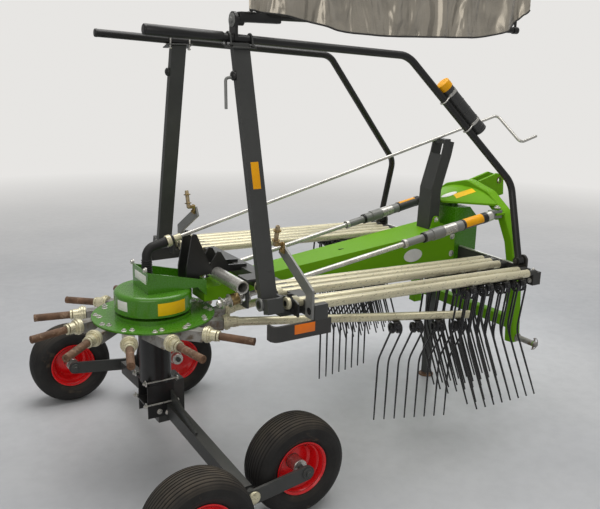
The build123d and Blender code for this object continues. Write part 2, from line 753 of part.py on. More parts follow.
seat_half = beam_half(cross_front) + SEAT_GAP
seat = (
    (cross_rear - 10, 0.0),
    (cross_front + 10, 0.0),
    (cross_front + 10, beam_top(cross_front + 10) + SEAT_GAP),
    (cross_rear - 10, beam_top(cross_rear - 10) + SEAT_GAP),
)
cross = cross - side_plate(seat, -seat_half, 2 * seat_half)
for side, y, _ in RACKED_ARMS:
    cross = cross - rack_rod(side, y, cross_rear - 20, cross_front + 20, ARM_TUBE_D + 2 * SEAT_GAP)
for side in (-1, 1):
    strut_y = side * STRUT_REAR[1]
    cross = cross - box(
        (cross_rear - 10, cross_front + 10),
        (strut_y - ROD_NOTCH_HALF, strut_y + ROD_NOTCH_HALF),
        (0, ROD_NOTCH_TOP),
    )
    y_in = side * (STRUT_REAR[1] - STRUT_PLATE_HALF)
    y_out = side * (STRUT_REAR[1] + STRUT_PLATE_HALF)
    plate_x = (STRUT_REAR[0] - STRUT_PLATE_T / 2, STRUT_REAR[0] + STRUT_PLATE_T / 2)
    plate = box(plate_x, (y_in, y_out), (STRUT_REAR[2] - STRUT_PLATE_HALF, cross_top))
    hole = rod(
        (STRUT_REAR[0] - 20, strut_y, STRUT_REAR[2]),
        (STRUT_REAR[0] + 20, strut_y, STRUT_REAR[2]),
        STRUT_ROD_D + 2 * STRUT_HOLE_CLEAR,
    )
    shelf = box((plate_x[0], cross_rear + 2), (y_in, y_out), (cross_top - STRUT_PLATE_T, cross_top))
    cross = cross + (plate - hole) + shelf
    hinge_y = side * GUARD_AXIS_Y
    foot_y = (hinge_y - GUARD_FOOT_HALF, hinge_y + GUARD_FOOT_HALF)
    cross = cross + rod(
        (GUARD_FOOT_X[1], hinge_y, GUARD_AXIS_Z),
        (POST_X - POST_WIDTH / 2 - 8, hinge_y, GUARD_AXIS_Z),
        GUARD_PIN_D,
    )
    cross = cross + box(GUARD_FOOT_X, foot_y, (cross_low, GUARD_AXIS_Z + GUARD_FOOT_HALF))
    cross = cross + box(
        (GUARD_FOOT_X[0], cross_rear + 2), foot_y, (cross_low, cross_low + GUARD_FOOT_DROP)
    )
save("cross_tube", [cross])



def pivot_bar(half, diameter):
    """A round bar across the machine on the pivot tube's axis."""
    return rod((PIVOT_TUBE_X, -half, PIVOT_TUBE_Z), (PIVOT_TUBE_X, half, PIVOT_TUBE_Z), diameter)


pivot_bore = pivot_bar(PIVOT_TUBE_HALF + 100, PIVOT_TUBE_D - 2 * PIVOT_TUBE_WALL)
save("pivot_tube", [pivot_bar(PIVOT_TUBE_HALF, PIVOT_TUBE_D) - pivot_bore])

link_low = bracket_low + BRACKET_WALL + SEAT_GAP
link_side = (
    (LINK_REAR_X[0], link_low),
    (LINK_REAR_X[0], LINK_HEEL_Z),
    (LINK_REAR_X[1], LINK_APEX[1]),
    LINK_APEX,
    LINK_NOSE,
    (CROSS_X, cross_top + SEAT_GAP),
    (cross_rear - SEAT_GAP, cross_top + SEAT_GAP),
    (cross_rear - SEAT_GAP, PIVOT_TUBE_Z),
    (LINK_APEX[0], PIVOT_TUBE_Z),
    (LINK_APEX[0] - 4, link_low),
)
link_seat = pivot_bar(PIVOT_TUBE_HALF, PIVOT_TUBE_D + 2 * SEAT_GAP)
save("tilt_link", [side_plate(link_side, y - LINK_T / 2, LINK_T) - link_seat for y in (-LINK_Y, LINK_Y)])

# Front cross plates with the pegs for the stored arms and the guard studs
front_cross = []
for side in (-1, 1):
    inner_y = head_half + SEAT_GAP
    outline = (
        (side * inner_y, FRONT_CROSS_TOP - FRONT_CROSS_DEPTH[0]),
        (side * inner_y, FRONT_CROSS_TOP),
        (side * FRONT_CROSS_HALF, FRONT_CROSS_TOP - 8),
        (side * FRONT_CROSS_HALF, FRONT_CROSS_TOP - FRONT_CROSS_DEPTH[1] - 16),
    )
    front = cross_plate(outline, FRONT_CROSS_X, FRONT_CROSS_T)
    block_x = (FRONT_CROSS_X - 22, FRONT_CROSS_X + FRONT_CROSS_T + 18)
    block_y = (side * (FRONT_CROSS_HALF - END_BLOCK[0]), side * (FRONT_CROSS_HALF + 6))
    front = front + box(block_x, block_y, (FRONT_CROSS_TOP - 14 - END_BLOCK[1], FRONT_CROSS_TOP - 14))
    hinge = (side * GUARD_AXIS_Y, GUARD_AXIS_Z)
    front = front + rod((FRONT_CROSS_X, *hinge), (FRONT_CROSS_X + FRONT_CROSS_T, *hinge), 56)
    front = front + box(
        (FRONT_CROSS_X, FRONT_CROSS_X + FRONT_CROSS_T),
        (side * (GUARD_AXIS_Y - 28), side * (GUARD_AXIS_Y + 28)),
        (FRONT_CROSS_TOP - 30, GUARD_AXIS_Z),
    )
    stud_end = GUARD_LOW_X - GUARD_TUBE_D / 2 - 8
    front = front + rod((FRONT_CROSS_X + 2, *hinge), (stud_end, *hinge), GUARD_STUD_D)
    for arm_side, y, _ in RACKED_ARMS:
        if arm_side == side:
            front = front + rack_rod(side, y, RACK_TUBE_FRONT + SEAT_GAP, FRONT_CROSS_X + 2, PEG_D)
    front_cross.append(front)
save("front_cross_member", front_cross)

# Stored arms with their tines
rack_droop = degrees(atan2(RACK_REAR_Z - RACK_FRONT_Z, RACK_TUBE_FRONT - RACK_TUBE_REAR))
stored_tine = Rot(0, rack_droop, 0) * tine(TINE_LEAN_STORED)
tubes, tines = [], []
for side, y, first_x in RACKED_ARMS:
    by_rack_bar = y + ARM_TUBE_D / 2 > RACK_BAR_KNEE[0] - RACK_BAR_W / 2
    tube_start = cross_rear + 4 * SEAT_GAP if by_rack_bar else RACK_TUBE_REAR
    tubes.append(rack_rod(side, y, tube_start, RACK_TUBE_FRONT, ARM_TUBE_D))
    for k in range(TINES_PER_ARM):
        tine_x = first_x - k * TINE_PITCH
        tines.append(Pos(tine_x, side * y, rack_z(tine_x)) * stored_tine)
save("stored_arms", tubes)
save("stored_tines", tines)

# Rack bars, latches and side bumpers, built on the right
rack_bar_x = cross_rear - SEAT_GAP - RACK_BAR_T
rack_line = tuple((-y, z) for y, z in (RACK_BAR_TOP, RACK_BAR_KNEE, (RACK_BAR_KNEE[0], RACK_BAR_FOOT_Z)))
rack_bar = cross_plate(band(rack_line, RACK_BAR_W), rack_bar_x, RACK_BAR_T)
save("rack_bars", [rack_bar, other_side(rack_bar)])

latch_x = rack_bar_x - 34
latch_low = Vector(latch_x, -LATCH_LOW[0], LATCH_LOW[1])
latch_high = Vector(latch_x, -LATCH_HIGH[0], LATCH_HIGH[1])
latch_way = (latch_high - latch_low).normalized()
foot_y, foot_z = -LATCH_LOW[0] - 2, LATCH_LOW[1] + 3
latch_foot = (foot_z - 9, foot_z + 9)
latch_back = rack_bar_x - SEAT_GAP
latch = joined(
    rod(latch_low, latch_high, LATCH_TUBE_D),
    *(
        rod(latch_low + latch_way * at, latch_low + latch_way * (at + LATCH_WASHER_T), LATCH_WASHER_D)
        for at in LATCH_WASHERS
    ),
    box((latch_x, latch_back), (foot_y - 10, foot_y + 10), latch_foot),
    box((latch_back - 8, latch_back), (foot_y - 10, foot_y + 16), (foot_z - 39, foot_z + 9)),
)
save("latches", [latch, other_side(latch)])

bumper_high = cross_low - SEAT_GAP
bumper_out = -BUMPER_Y - BUMPER_T / 2
bumper = joined(
    box(BUMPER_X, (bumper_out, bumper_out + BUMPER_T), (bumper_high - BUMPER_H, bumper_high)),
    box(
        (BUMPER_X[0], BUMPER_X[0] + BUMPER_T),
        (bumper_out, -BUMPER_Y + BUMPER_HOOK),
        (bumper_high - BUMPER_H, bumper_high),
    ),
)
save("side_bumpers", [bumper, other_side(bumper)])


# Folding guards: a bent tube and a post in one leaning plane, on a hinge along X
def on_guard(x, s, out=0.0):
    """A point of the right guard: s up its leaning plane, out square to it."""
    lean = radians(GUARD_LEAN)
    return (
        x,
        -GUARD_AXIS_Y + s * sin(lean) - out * cos(lean),
        GUARD_AXIS_Z + s * cos(lean) - out * sin(lean),
    )


def guard_top(x):
    """How far up the plane the top tube's axis is."""
    return GUARD_TOP_S - GUARD_TOP_SLOPE * (x - 275)


across = Vector(*on_guard(0, 0, 1)) - Vector(*on_guard(0, 0, 0))
bend_s = guard_top(GUARD_BEND_X)
hoop = pipe(
    [
        on_guard(GUARD_REAR_X, guard_top(GUARD_REAR_X)),
        on_guard(GUARD_BEND_X, bend_s),
        on_guard(GUARD_LOW_X, GUARD_LOW_S),
        on_guard(GUARD_LOW_X, 12),
    ],
    GUARD_TUBE_D,
    GUARD_BEND_R,
)
eye_x = (GUARD_LOW_X - GUARD_TUBE_D / 2, GUARD_LOW_X + GUARD_TUBE_D / 2)
eye = rod(on_guard(eye_x[0], 0), on_guard(eye_x[1], 0), 42)
bore = rod(on_guard(eye_x[0] - 30, 0), on_guard(eye_x[1] + 30, 0), GUARD_STUD_D + 2 * RUN_GAP)
hoop = (hoop + eye) - bore
save("guard_hoop_right", [hoop])
save("guard_hoop_left", [other_side(hoop)])

post_end = guard_top(POST_X) - GUARD_TUBE_D / 2 - 2.5
guard_post = beam(on_guard(POST_X, 0), on_guard(POST_X, post_end), POST_WIDTH, POST_DEPTH, across=(1, 0, 0))
post_x = (POST_X - POST_WIDTH / 2, POST_X + POST_WIDTH / 2)
guard_post = guard_post + rod(on_guard(post_x[0], 0), on_guard(post_x[1], 0), GUARD_PIVOT_D)
guard_post = guard_post - rod(
    on_guard(post_x[0] - 30, 0), on_guard(post_x[1] + 30, 0), GUARD_PIN_D + 2 * RUN_GAP
)
save("guard_post_right", [guard_post])
save("guard_post_left", [other_side(guard_post)])


# Document tube clamped to the right guard's sloping leg
leg_way = Vector(GUARD_LOW_X - GUARD_BEND_X, GUARD_LOW_S - bend_s, 0).normalized()
tube_off = GUARD_TUBE_D / 2 + TUBE_BOX_D / 2 + 4


def on_leg(along_leg, off):
    """A point beside the sloping leg, off it in the guard's plane."""
    x = GUARD_BEND_X + leg_way.X * along_leg - leg_way.Y * off
    s = bend_s + leg_way.Y * along_leg + leg_way.X * off
    return on_guard(x, s)


document_tube = rod(on_leg(TUBE_BOX_ALONG[0], tube_off), on_leg(TUBE_BOX_ALONG[1], tube_off), TUBE_BOX_D)
for at in (60, 240):
    seat = GUARD_TUBE_D / 2 + SEAT_GAP
    document_tube = document_tube + beam(
        on_leg(TUBE_BOX_ALONG[0] + at, seat),
        on_leg(TUBE_BOX_ALONG[0] + at, tube_off),
        24,
        24,
        across=tuple(across),
    )
save("document_tube", [document_tube])

# Swath curtain folded up over the right guard
axis_y, axis_z = CURTAIN_AXIS
lobe_x = CURTAIN_LOBE_X
tube_z = on_guard(lobe_x, guard_top(lobe_x))
lobe = rod((lobe_x, axis_y, axis_z), (lobe_x + CURTAIN_LOBE_T, axis_y, axis_z), CURTAIN_LOBE_D)
lobe = lobe + box(
    (lobe_x, lobe_x + CURTAIN_LOBE_T), (axis_y - 26, axis_y + 26), (tube_z[2] - 8, axis_z)
)
lobe = lobe - rod(
    on_guard(lobe_x - 30, guard_top(lobe_x - 30)),
    on_guard(lobe_x + 60, guard_top(lobe_x + 60)),
    GUARD_TUBE_D + 2 * SEAT_GAP,
)
lobe = lobe + rod((lobe_x + 2, axis_y, axis_z), (CURTAIN_PIN_END_X, axis_y, axis_z), CURTAIN_PIN_D)
save("curtain_bracket", [lobe])
eye_start = lobe_x + CURTAIN_LOBE_T + 6
eye_end = eye_start + CURTAIN_EYE_LENGTH
curtain_arm = rod((eye_start, axis_y, axis_z), (eye_end, axis_y, axis_z), CURTAIN_EYE_D)
curtain_arm = curtain_arm - rod(
    (eye_start - 9, axis_y, axis_z), (eye_end + 14, axis_y, axis_z), CURTAIN_PIN_D + 2 * RUN_GAP
)
arm_x = eye_end + 20
curtain_arm = curtain_arm + box(
    (eye_start + 2, arm_x + 20), (axis_y - 6, axis_y + 6), (axis_z + 10, CURTAIN_BAR_Z + 10)
)
curtain_arm = curtain_arm + rod(
    (arm_x, axis_y, CURTAIN_BAR_Z), (CURTAIN_ARM_END_X, axis_y, CURTAIN_BAR_Z), CURTAIN_BAR_D
)
save("curtain_arm", [curtain_arm])
sheet_y = axis_y - CURTAIN_BAR_D / 2 - SEAT_GAP - CURTAIN_T
save("curtain_sheet", [side_plate(CURTAIN_OUTLINE, sheet_y, CURTAIN_T)])

# Headstock: the arch with its lower cross tube, swivel plates, ears and pins
arch_rear = ARCH_X - ARCH_W / 2
arch_front = ARCH_X + ARCH_W / 2
arch_line = [(-y, z) for y, z in reversed(ARCH_LEG)] + [(y, z) for y, z in ARCH_LEG[1:]]
arch = cross_plate(band(arch_line, ARCH_T), arch_rear, ARCH_W)
arch = arch + box(
    (arch_rear + 2, arch_front - 2),
    (-CROSS_LINK_HALF, CROSS_LINK_HALF),
    (CROSS_LINK_Z - CROSS_LINK_SIZE / 2, CROSS_LINK_Z + CROSS_LINK_SIZE / 2),
)
lower_plate = (HEAD_BOX_BOTTOM - 50, HEAD_BOX_BOTTOM - 30)
arch = arch + box((arch_rear + 3, arch_front - 3), (-30, 30), (CROSS_LINK_Z, lower_plate[1]))
arch = arch + box((SWIVEL_X - 42, arch_front - 3), (-42, 42), lower_plate)
arch = arch - rod(
    (SWIVEL_X, 0, HEAD_BOX_BOTTOM - 200), (SWIVEL_X, 0, HEAD_BOX_BOTTOM), SWIVEL_PIN_D + 2 * RUN_GAP
)
for side in (-1, 1):
    ear = box(
        (STRUT_FRONT[0] - 20, arch_rear + 2),
        (side * (STRUT_FRONT[1] - 22), side * (STRUT_FRONT[1] + 22)),
        (STRUT_FRONT[2] - 6, STRUT_FRONT[2] + 6),
    )
    pin = rod(
        (STRUT_FRONT[0], side * STRUT_FRONT[1], STRUT_FRONT[2] - 30),
        (STRUT_FRONT[0], side * STRUT_FRONT[1], STRUT_FRONT[2] + 30),
        STRUT_PIN_D,
    )
    arch = arch + ear + pin
plate_z = HEAD_BOX_TOP + 20
gusset = flat_plate(
    (
        (PLATE_REAR[0], -PLATE_REAR[1]),
        PLATE_REAR,
        (arch_rear - SEAT_GAP, PLATE_FRONT_HALF),
        (arch_rear - SEAT_GAP, -PLATE_FRONT_HALF),
    ),
    plate_z,
    10,
)
gusset = gusset - rod((SWIVEL_X, 0, plate_z - 20), (SWIVEL_X, 0, plate_z + 40), SWIVEL_PIN_D + 2 * RUN_GAP)
save("headstock_plate", [gusset])

ear_side = (
    (arch_front + SEAT_GAP, EAR_ROOT_Z[0]),
    (arch_front + SEAT_GAP, EAR_ROOT_Z[1]),
    EAR_CREST,
    EAR_TIP,
    EAR_CHIN,
    EAR_THROAT,
)
top_bore = rod((TOP_LINK_X, -200, TOP_LINK_Z), (TOP_LINK_X, 200, TOP_LINK_Z), TOP_LINK_BORE_D)
ears = [
    side_plate(ear_side, y, EAR_T) - top_bore for y in (-EAR_GAP / 2 - EAR_T, EAR_GAP / 2)
]
save("top_link_ears", ears)

for side in (-1, 1):
    pin_root = (LINK_PIN_X, side * ARCH_LEG[-1][0], LINK_PIN_Z)
    arch = arch + rod(pin_root, (LINK_PIN_X, side * LINK_COLLAR_Y, LINK_PIN_Z), LINK_COLLAR_D)
    arch = arch + rod(pin_root, (LINK_PIN_X, side * LINK_PIN_END, LINK_PIN_Z), LINK_PIN_D)
save("headstock_arch", [arch])


# Struts, built on the right: the cylinder on the headstock's ear, the rod to the rear plate
strut_front = Vector(STRUT_FRONT[0], -STRUT_FRONT[1], STRUT_FRONT[2])
strut_rear = Vector(STRUT_REAR[0], -STRUT_REAR[1], STRUT_REAR[2])
strut_way = (strut_rear - strut_front).normalized()
strut_length = (strut_rear - strut_front).length
yaw = degrees(atan2(strut_way.Y, strut_way.X))
fork = box((-21, 46), (-17, 17), (-20, 20)) - box((-30, 27), (-30, 30), (-6.6, 6.6))
fork = fork - rod((0, 0, -40), (0, 0, 40), STRUT_PIN_D + 2 * RUN_GAP)
cylinder = Pos(*strut_front) * Rot(0, 0, yaw) * fork


def on_cylinder(start, end, diameter):
    """A round step of the cylinder, measured from the headstock's pin towards the rear."""
    return rod(strut_front + strut_way * start, strut_front + strut_way * end, diameter)


cylinder = cylinder + on_cylinder(40, STRUT_CYL_START, STRUT_CYL_D)
cylinder = cylinder + on_cylinder(STRUT_CYL_START, STRUT_SLEEVE_START, STRUT_SLEEVE_D + 6)
cylinder = cylinder - on_cylinder(60, STRUT_SLEEVE_START + 20, STRUT_ROD_D + 2 * RUN_GAP)
save("strut_cylinder_right", [cylinder])
save("strut_cylinder_left", [other_side(cylinder)])


def on_rod(start, end, diameter):
    """A round step of the rod, measured from the rear plate towards the tail."""
    return rod(strut_rear + strut_way * start, strut_rear + strut_way * end, diameter)


plate_gap = STRUT_PLATE_T / 2 + 7 + STRUT_WASHER_D / 2 * abs(strut_way.Z)
strut_rod = joined(
    rod(strut_front + strut_way * STRUT_ROD_END, strut_rear + strut_way * STRUT_TAIL, STRUT_ROD_D),
    on_rod(plate_gap, plate_gap + 6, STRUT_WASHER_D),
    on_rod(-plate_gap - 6, -plate_gap, STRUT_WASHER_D),
    on_rod(plate_gap + 6, plate_gap + 46, STRUT_BUSH_D),
    on_rod(plate_gap + 46, plate_gap + 52, STRUT_WASHER_D),
    on_rod(plate_gap + 52, plate_gap + 70, 36),
)
save("strut_rod_right", [strut_rod])
save("strut_rod_left", [other_side(strut_rod)])

# Parking stand beside the swivel head
sleeve_out = STAND_SIZE + 2 * (STAND_GAP + STAND_WALL)
stand_y = head_half + SEAT_GAP + sleeve_out / 2
sleeve_in = STAND_SIZE + 2 * STAND_GAP
low, high = STAND_SLEEVE
sleeve = Pos(STAND_X, stand_y, (low + high) / 2) * (
    Box(sleeve_out, sleeve_out, high - low) - Box(sleeve_in, sleeve_in, 2 * (high - low))
)
save("parking_stand_sleeve", [sleeve])
leg = box(
    (STAND_X - STAND_SIZE / 2, STAND_X + STAND_SIZE / 2),
    (stand_y - STAND_SIZE / 2, stand_y + STAND_SIZE / 2),
    (STAND_FOOT_T, STAND_TOP),
)
leg = leg + rod((STAND_X, stand_y, 0), (STAND_X, stand_y, STAND_FOOT_T), STAND_FOOT_D)
save("parking_stand_leg", [leg])
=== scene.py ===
import math
from math import cos, pi, radians, sin

import bmesh
import bpy
from mathutils import Matrix, Quaternion, Vector, noise


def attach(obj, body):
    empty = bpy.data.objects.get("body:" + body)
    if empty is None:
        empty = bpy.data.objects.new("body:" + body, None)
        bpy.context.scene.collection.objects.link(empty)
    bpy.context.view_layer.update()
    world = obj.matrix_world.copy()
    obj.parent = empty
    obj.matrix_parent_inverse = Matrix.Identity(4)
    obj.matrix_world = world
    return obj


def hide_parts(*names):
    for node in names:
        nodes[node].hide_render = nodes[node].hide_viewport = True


# Single rotor hay rake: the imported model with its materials, the pieces that give it detail,
# plain studio light and the camera. Places in this script are millimetres from the rotor axis,
# as in the part's source, unless a line says otherwise.
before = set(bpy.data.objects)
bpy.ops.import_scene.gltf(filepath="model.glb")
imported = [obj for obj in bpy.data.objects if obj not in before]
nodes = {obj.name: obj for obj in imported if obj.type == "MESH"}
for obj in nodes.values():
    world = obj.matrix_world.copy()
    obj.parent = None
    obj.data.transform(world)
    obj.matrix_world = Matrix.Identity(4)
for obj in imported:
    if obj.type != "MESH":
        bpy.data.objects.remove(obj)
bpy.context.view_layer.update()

ROTOR_X = -816
MM = 0.001


def at(x, y, z):
    """A place in the frame, in metres, from its millimetres from the rotor axis."""
    return Vector(((x + ROTOR_X) * MM, y * MM, z * MM))


# Camera, fitted to the wheels, the racks and the headstock
CAMERA_PLACE = (-1.8955, -2.9488, 1.783)
CAMERA_YAW = 58.216
CAMERA_PITCH = 14.57
CAMERA_ROLL = 1.179
CAMERA_LENS = 44.48

yaw, pitch, roll = radians(CAMERA_YAW), radians(CAMERA_PITCH), radians(CAMERA_ROLL)
ahead = Vector((cos(yaw) * cos(pitch), sin(yaw) * cos(pitch), -sin(pitch)))
level_right = Vector((sin(yaw), -cos(yaw), 0))
level_up = level_right.cross(ahead)
right = cos(roll) * level_right + sin(roll) * level_up
up = -sin(roll) * level_right + cos(roll) * level_up
camera_data = bpy.data.cameras.new("camera")
camera_data.lens = CAMERA_LENS
camera_data.sensor_width = 36
camera = bpy.data.objects.new("camera", camera_data)
bpy.context.scene.collection.objects.link(camera)
turn = Matrix((right, up, -ahead)).transposed().to_4x4()
camera.matrix_world = Matrix.Translation(Vector(CAMERA_PLACE)) @ turn
bpy.context.scene.camera = camera
bpy.context.scene.view_settings.view_transform = "Standard"


# Materials
def node(tree, kind, inputs=None, **settings):
    """A shader node; an input is a value or another node's socket."""
    made = tree.nodes.new("ShaderNode" + kind)
    for name, value in settings.items():
        setattr(made, name, value)
    for name, value in (inputs or {}).items():
        socket = made.inputs[name]
        if isinstance(value, bpy.types.NodeSocket):
            tree.links.new(value, socket)
        else:
            socket.default_value = value
    return made


def rgba(colour):
    return (*colour, 1)


def blend(tree, share, a, b, mode="MIX"):
    """Colour a turning into colour b; each is a colour or a socket."""
    made = tree.nodes.new("ShaderNodeMix")
    made.data_type = "RGBA"
    made.blend_type = mode
    made.clamp_factor = True
    for index, value in ((0, share), (6, a), (7, b)):
        socket = made.inputs[index]
        if isinstance(value, bpy.types.NodeSocket):
            tree.links.new(value, socket)
        else:
            socket.default_value = value if index == 0 else rgba(value)
    return made.outputs[2]


def ramp(tree, value, low, high, to_low=0, to_high=1):
    """A value mapped from one range to another and held inside it."""
    made = node(tree, "MapRange", {0: value, 1: low, 2: high, 3: to_low, 4: to_high})
    made.clamp = True
    return made.outputs[0]


def math_of(tree, kind, a, b=0):
    return node(tree, "Math", {0: a, 1: b}, operation=kind).outputs[0]


def clouds(tree, place, scale, detail=4, rough=0.55, twist=0):
    inputs = {"Vector": place, "Scale": scale, "Detail": detail, "Roughness": rough, "Distortion": twist}
    return node(tree, "TexNoise", inputs).outputs[0]


def find(tree, kind):
    return next(n for n in tree.nodes if n.type == kind)


def surface(
    name, colour, rough=0.4, metal=0, coat=0, shade=0.82, light=1.12, patch_scale=5, grain_scale=160,
    rough_spread=0.12, bump=0.15, bump_size=0.0004, worn=None, worn_edges=0.5, stain=None, stain_share=0.3,
    stain_scale=14, dust=0.15, dust_colour=(0.36, 0.33, 0.28), edge=0.0016, along=None, scratch=0,
    specular=0.5,
):
    """A painted, plated, cast or moulded surface with variation, wear, dust and fine relief."""
    mat = bpy.data.materials.new(name)
    mat.use_nodes = True
    tree = mat.node_tree
    shader = find(tree, "BSDF_PRINCIPLED")
    place = node(tree, "TexCoord").outputs["Object"]
    if along is not None:
        place = node(tree, "Mapping", {"Vector": place, "Scale": along}).outputs[0]
    patches = clouds(tree, place, patch_scale, 5, 0.6)
    grain = clouds(tree, place, grain_scale, 3, 0.6)
    dark = tuple(c * shade for c in colour)
    pale = tuple(min(c * light, 1) for c in colour)
    tone = blend(tree, ramp(tree, patches, 0.32, 0.68), dark, pale)
    roughness = ramp(tree, grain, 0.3, 0.7, rough - rough_spread / 2, rough + rough_spread / 2)
    if stain is not None:
        spots = clouds(tree, place, stain_scale, 8, 0.68, 0.6)
        cut = 0.72 - 0.42 * stain_share
        mask = ramp(tree, spots, cut, cut + 0.1)
        tone = blend(tree, mask, tone, stain)
    geometry = node(tree, "NewGeometry")
    rounded = node(tree, "Bevel", {"Radius": edge})
    rounded.samples = 4
    if worn is not None:
        both = {0: rounded.outputs[0], 1: geometry.outputs["Normal"]}
        dot = node(tree, "VectorMath", both, operation="DOT_PRODUCT")
        edges = ramp(tree, dot.outputs["Value"], 0.995, 0.90)
        chips = ramp(tree, clouds(tree, place, 55, 6, 0.7), 0.46, 0.60)
        mask = math_of(tree, "MULTIPLY", math_of(tree, "MULTIPLY", edges, chips), worn_edges)
        tone = blend(tree, mask, tone, worn)
    if dust > 0:
        facing = node(tree, "SeparateXYZ", {0: geometry.outputs["Normal"]}).outputs[2]
        flat = ramp(tree, facing, 0.35, 1)
        drift = ramp(tree, clouds(tree, place, 9, 6, 0.65), 0.35, 0.7, 0.25, 1)
        mask = math_of(tree, "MULTIPLY", math_of(tree, "MULTIPLY", flat, drift), dust)
        tone = blend(tree, mask, tone, dust_colour)
        roughness = math_of(tree, "ADD", roughness, math_of(tree, "MULTIPLY", mask, 0.35))
    tree.links.new(tone, shader.inputs["Base Color"])
    tree.links.new(roughness, shader.inputs["Roughness"])
    shader.inputs["Metallic"].default_value = metal
    shader.inputs["Coat Weight"].default_value = coat
    shader.inputs["Coat Roughness"].default_value = 0.12
    shader.inputs["Specular IOR Level"].default_value = specular
    height = grain
    if scratch > 0:
        lines = clouds(tree, place, 60, 2, 0.5, 4)
        height = math_of(tree, "ADD", grain, math_of(tree, "MULTIPLY", lines, scratch))
    inputs = {"Strength": bump, "Distance": bump_size, "Height": height, "Normal": rounded.outputs[0]}
    relief = node(tree, "Bump", inputs)
    tree.links.new(relief.outputs[0], shader.inputs["Normal"])
    return mat


lime = surface(
    "lime_paint", (0.155, 0.385, 0.008), 0.48, shade=0.94, light=1.05, patch_scale=3,
    worn=(0.30, 0.46, 0.10), worn_edges=0.3, dust=0.03, dust_colour=(0.34, 0.46, 0.16),
    stain=(0.10, 0.30, 0.010), stain_share=0.05, stain_scale=7, bump=0.04, specular=0.1,
)
green = surface(
    "green_paint", (0.062, 0.235, 0.006), 0.27, coat=0.4, shade=0.9, light=1.08, patch_scale=3,
    worn=(0.22, 0.32, 0.10), worn_edges=0.35, dust=0.08, dust_colour=(0.30, 0.40, 0.20),
    stain=(0.045, 0.17, 0.008), stain_share=0.05, stain_scale=7, bump=0.06,
)
dark_grey = surface(
    "dark_grey_paint", (0.050, 0.052, 0.050), 0.42, worn=(0.20, 0.19, 0.17), worn_edges=0.7, dust=0.25,
    dust_colour=(0.20, 0.19, 0.17), stain=(0.028, 0.028, 0.027), stain_share=0.2, scratch=0.5,
)
black = surface(
    "black_paint", (0.014, 0.014, 0.014), 0.34, worn=(0.16, 0.15, 0.14), dust=0.10,
    dust_colour=(0.16, 0.15, 0.13),
)
bumper_black = surface(
    "bumper_paint", (0.040, 0.039, 0.036), 0.42, worn=(0.16, 0.15, 0.14), dust=0.14,
    dust_colour=(0.12, 0.11, 0.10),
)
cream = surface(
    "cream_zinc", (0.72, 0.67, 0.47), 0.30, metal=0.45, shade=0.76, light=1.15, patch_scale=7,
    stain=(0.50, 0.44, 0.24), stain_share=0.12, stain_scale=12, dust=0.10, bump=0.05,
    dust_colour=(0.66, 0.63, 0.52), along=(0.25, 1, 1),
)
zinc = surface(
    "pale_steel", (0.70, 0.685, 0.64), 0.30, metal=0.75, shade=0.78, light=1.1, patch_scale=12,
    stain=(0.42, 0.38, 0.30), stain_share=0.12, stain_scale=30, dust=0.08, scratch=0.3, bump=0.05,
)
red = surface(
    "red_paint", (0.84, 0.008, 0.012), 0.30, coat=0.3, shade=0.92, light=1.05, worn=(0.40, 0.06, 0.05),
    dust=0.05, dust_colour=(0.42, 0.14, 0.10), stain=(0.42, 0.006, 0.008), stain_share=0.08,
    stain_scale=20, bump=0.08,
)
casting = surface(
    "grey_casting", (0.34, 0.33, 0.31), 0.55, metal=0.35, shade=0.6, light=1.2, patch_scale=14,
    grain_scale=320, bump=0.5, bump_size=0.0009, stain=(0.17, 0.13, 0.09), stain_share=0.5,
    stain_scale=26, dust=0.1,
)
brown = surface(
    "brown_steel", (0.155, 0.082, 0.045), 0.72, metal=0.1, shade=0.6, light=1.3, patch_scale=24,
    grain_scale=300, bump=0.4, bump_size=0.0004, stain=(0.30, 0.20, 0.13), stain_share=0.42,
    stain_scale=40, dust=0.1,
)
tine_black = surface(
    "spring_steel", (0.011, 0.011, 0.012), 0.30, coat=0.2, dust=0.12,
    dust_colour=(0.12, 0.11, 0.10), stain=(0.05, 0.04, 0.033), stain_share=0.16, stain_scale=60,
)
grey_bar = surface(
    "grey_paint", (0.25, 0.255, 0.245), 0.40, metal=0.25, worn=(0.5, 0.48, 0.42), dust=0.15,
    dust_colour=(0.34, 0.32, 0.28), stain=(0.13, 0.13, 0.125), stain_share=0.2, scratch=0.5,
)
bronze = surface(
    "bronze", (0.42, 0.30, 0.13), 0.36, metal=0.8, shade=0.6, light=1.2, patch_scale=40,
    stain=(0.16, 0.10, 0.05), stain_share=0.4, stain_scale=60, dust=0,
)
rubber = surface(
    "black_rubber", (0.018, 0.018, 0.018), 0.55, bump=0.3, dust=0.2, dust_colour=(0.10, 0.095, 0.09),
    specular=0.35,
)
plastic = surface(
    "black_plastic", (0.045, 0.046, 0.045), 0.42, bump=0.25, bump_size=0.0003, dust=0.2,
    dust_colour=(0.20, 0.19, 0.17),
)
amber = surface("amber_blank", (0.98, 0.42, 0.004), 0.36, specular=0.3, dust=0.03, edge=0.0004, bump=0.05)
orange_blank = surface("orange_blank", (0.92, 0.20, 0.006), 0.34, dust=0.03, edge=0.0004, bump=0.05)
white_blank = surface("white_blank", (0.86, 0.86, 0.82), 0.34, coat=0.2, dust=0.04, edge=0.0004, bump=0.05)
yellow_blank = surface(
    "yellow_blank", (0.97, 0.56, 0.004), 0.36, specular=0.3, dust=0.03, edge=0.0004, bump=0.05
)
# Near black for the inside of the rack bars' holes and the beam's slots: painted shade in place of their
# depth
painted_hole_shade = surface("painted_bore_shade", (0.006, 0.006, 0.006), 0.8, dust=0, bump=0.1)

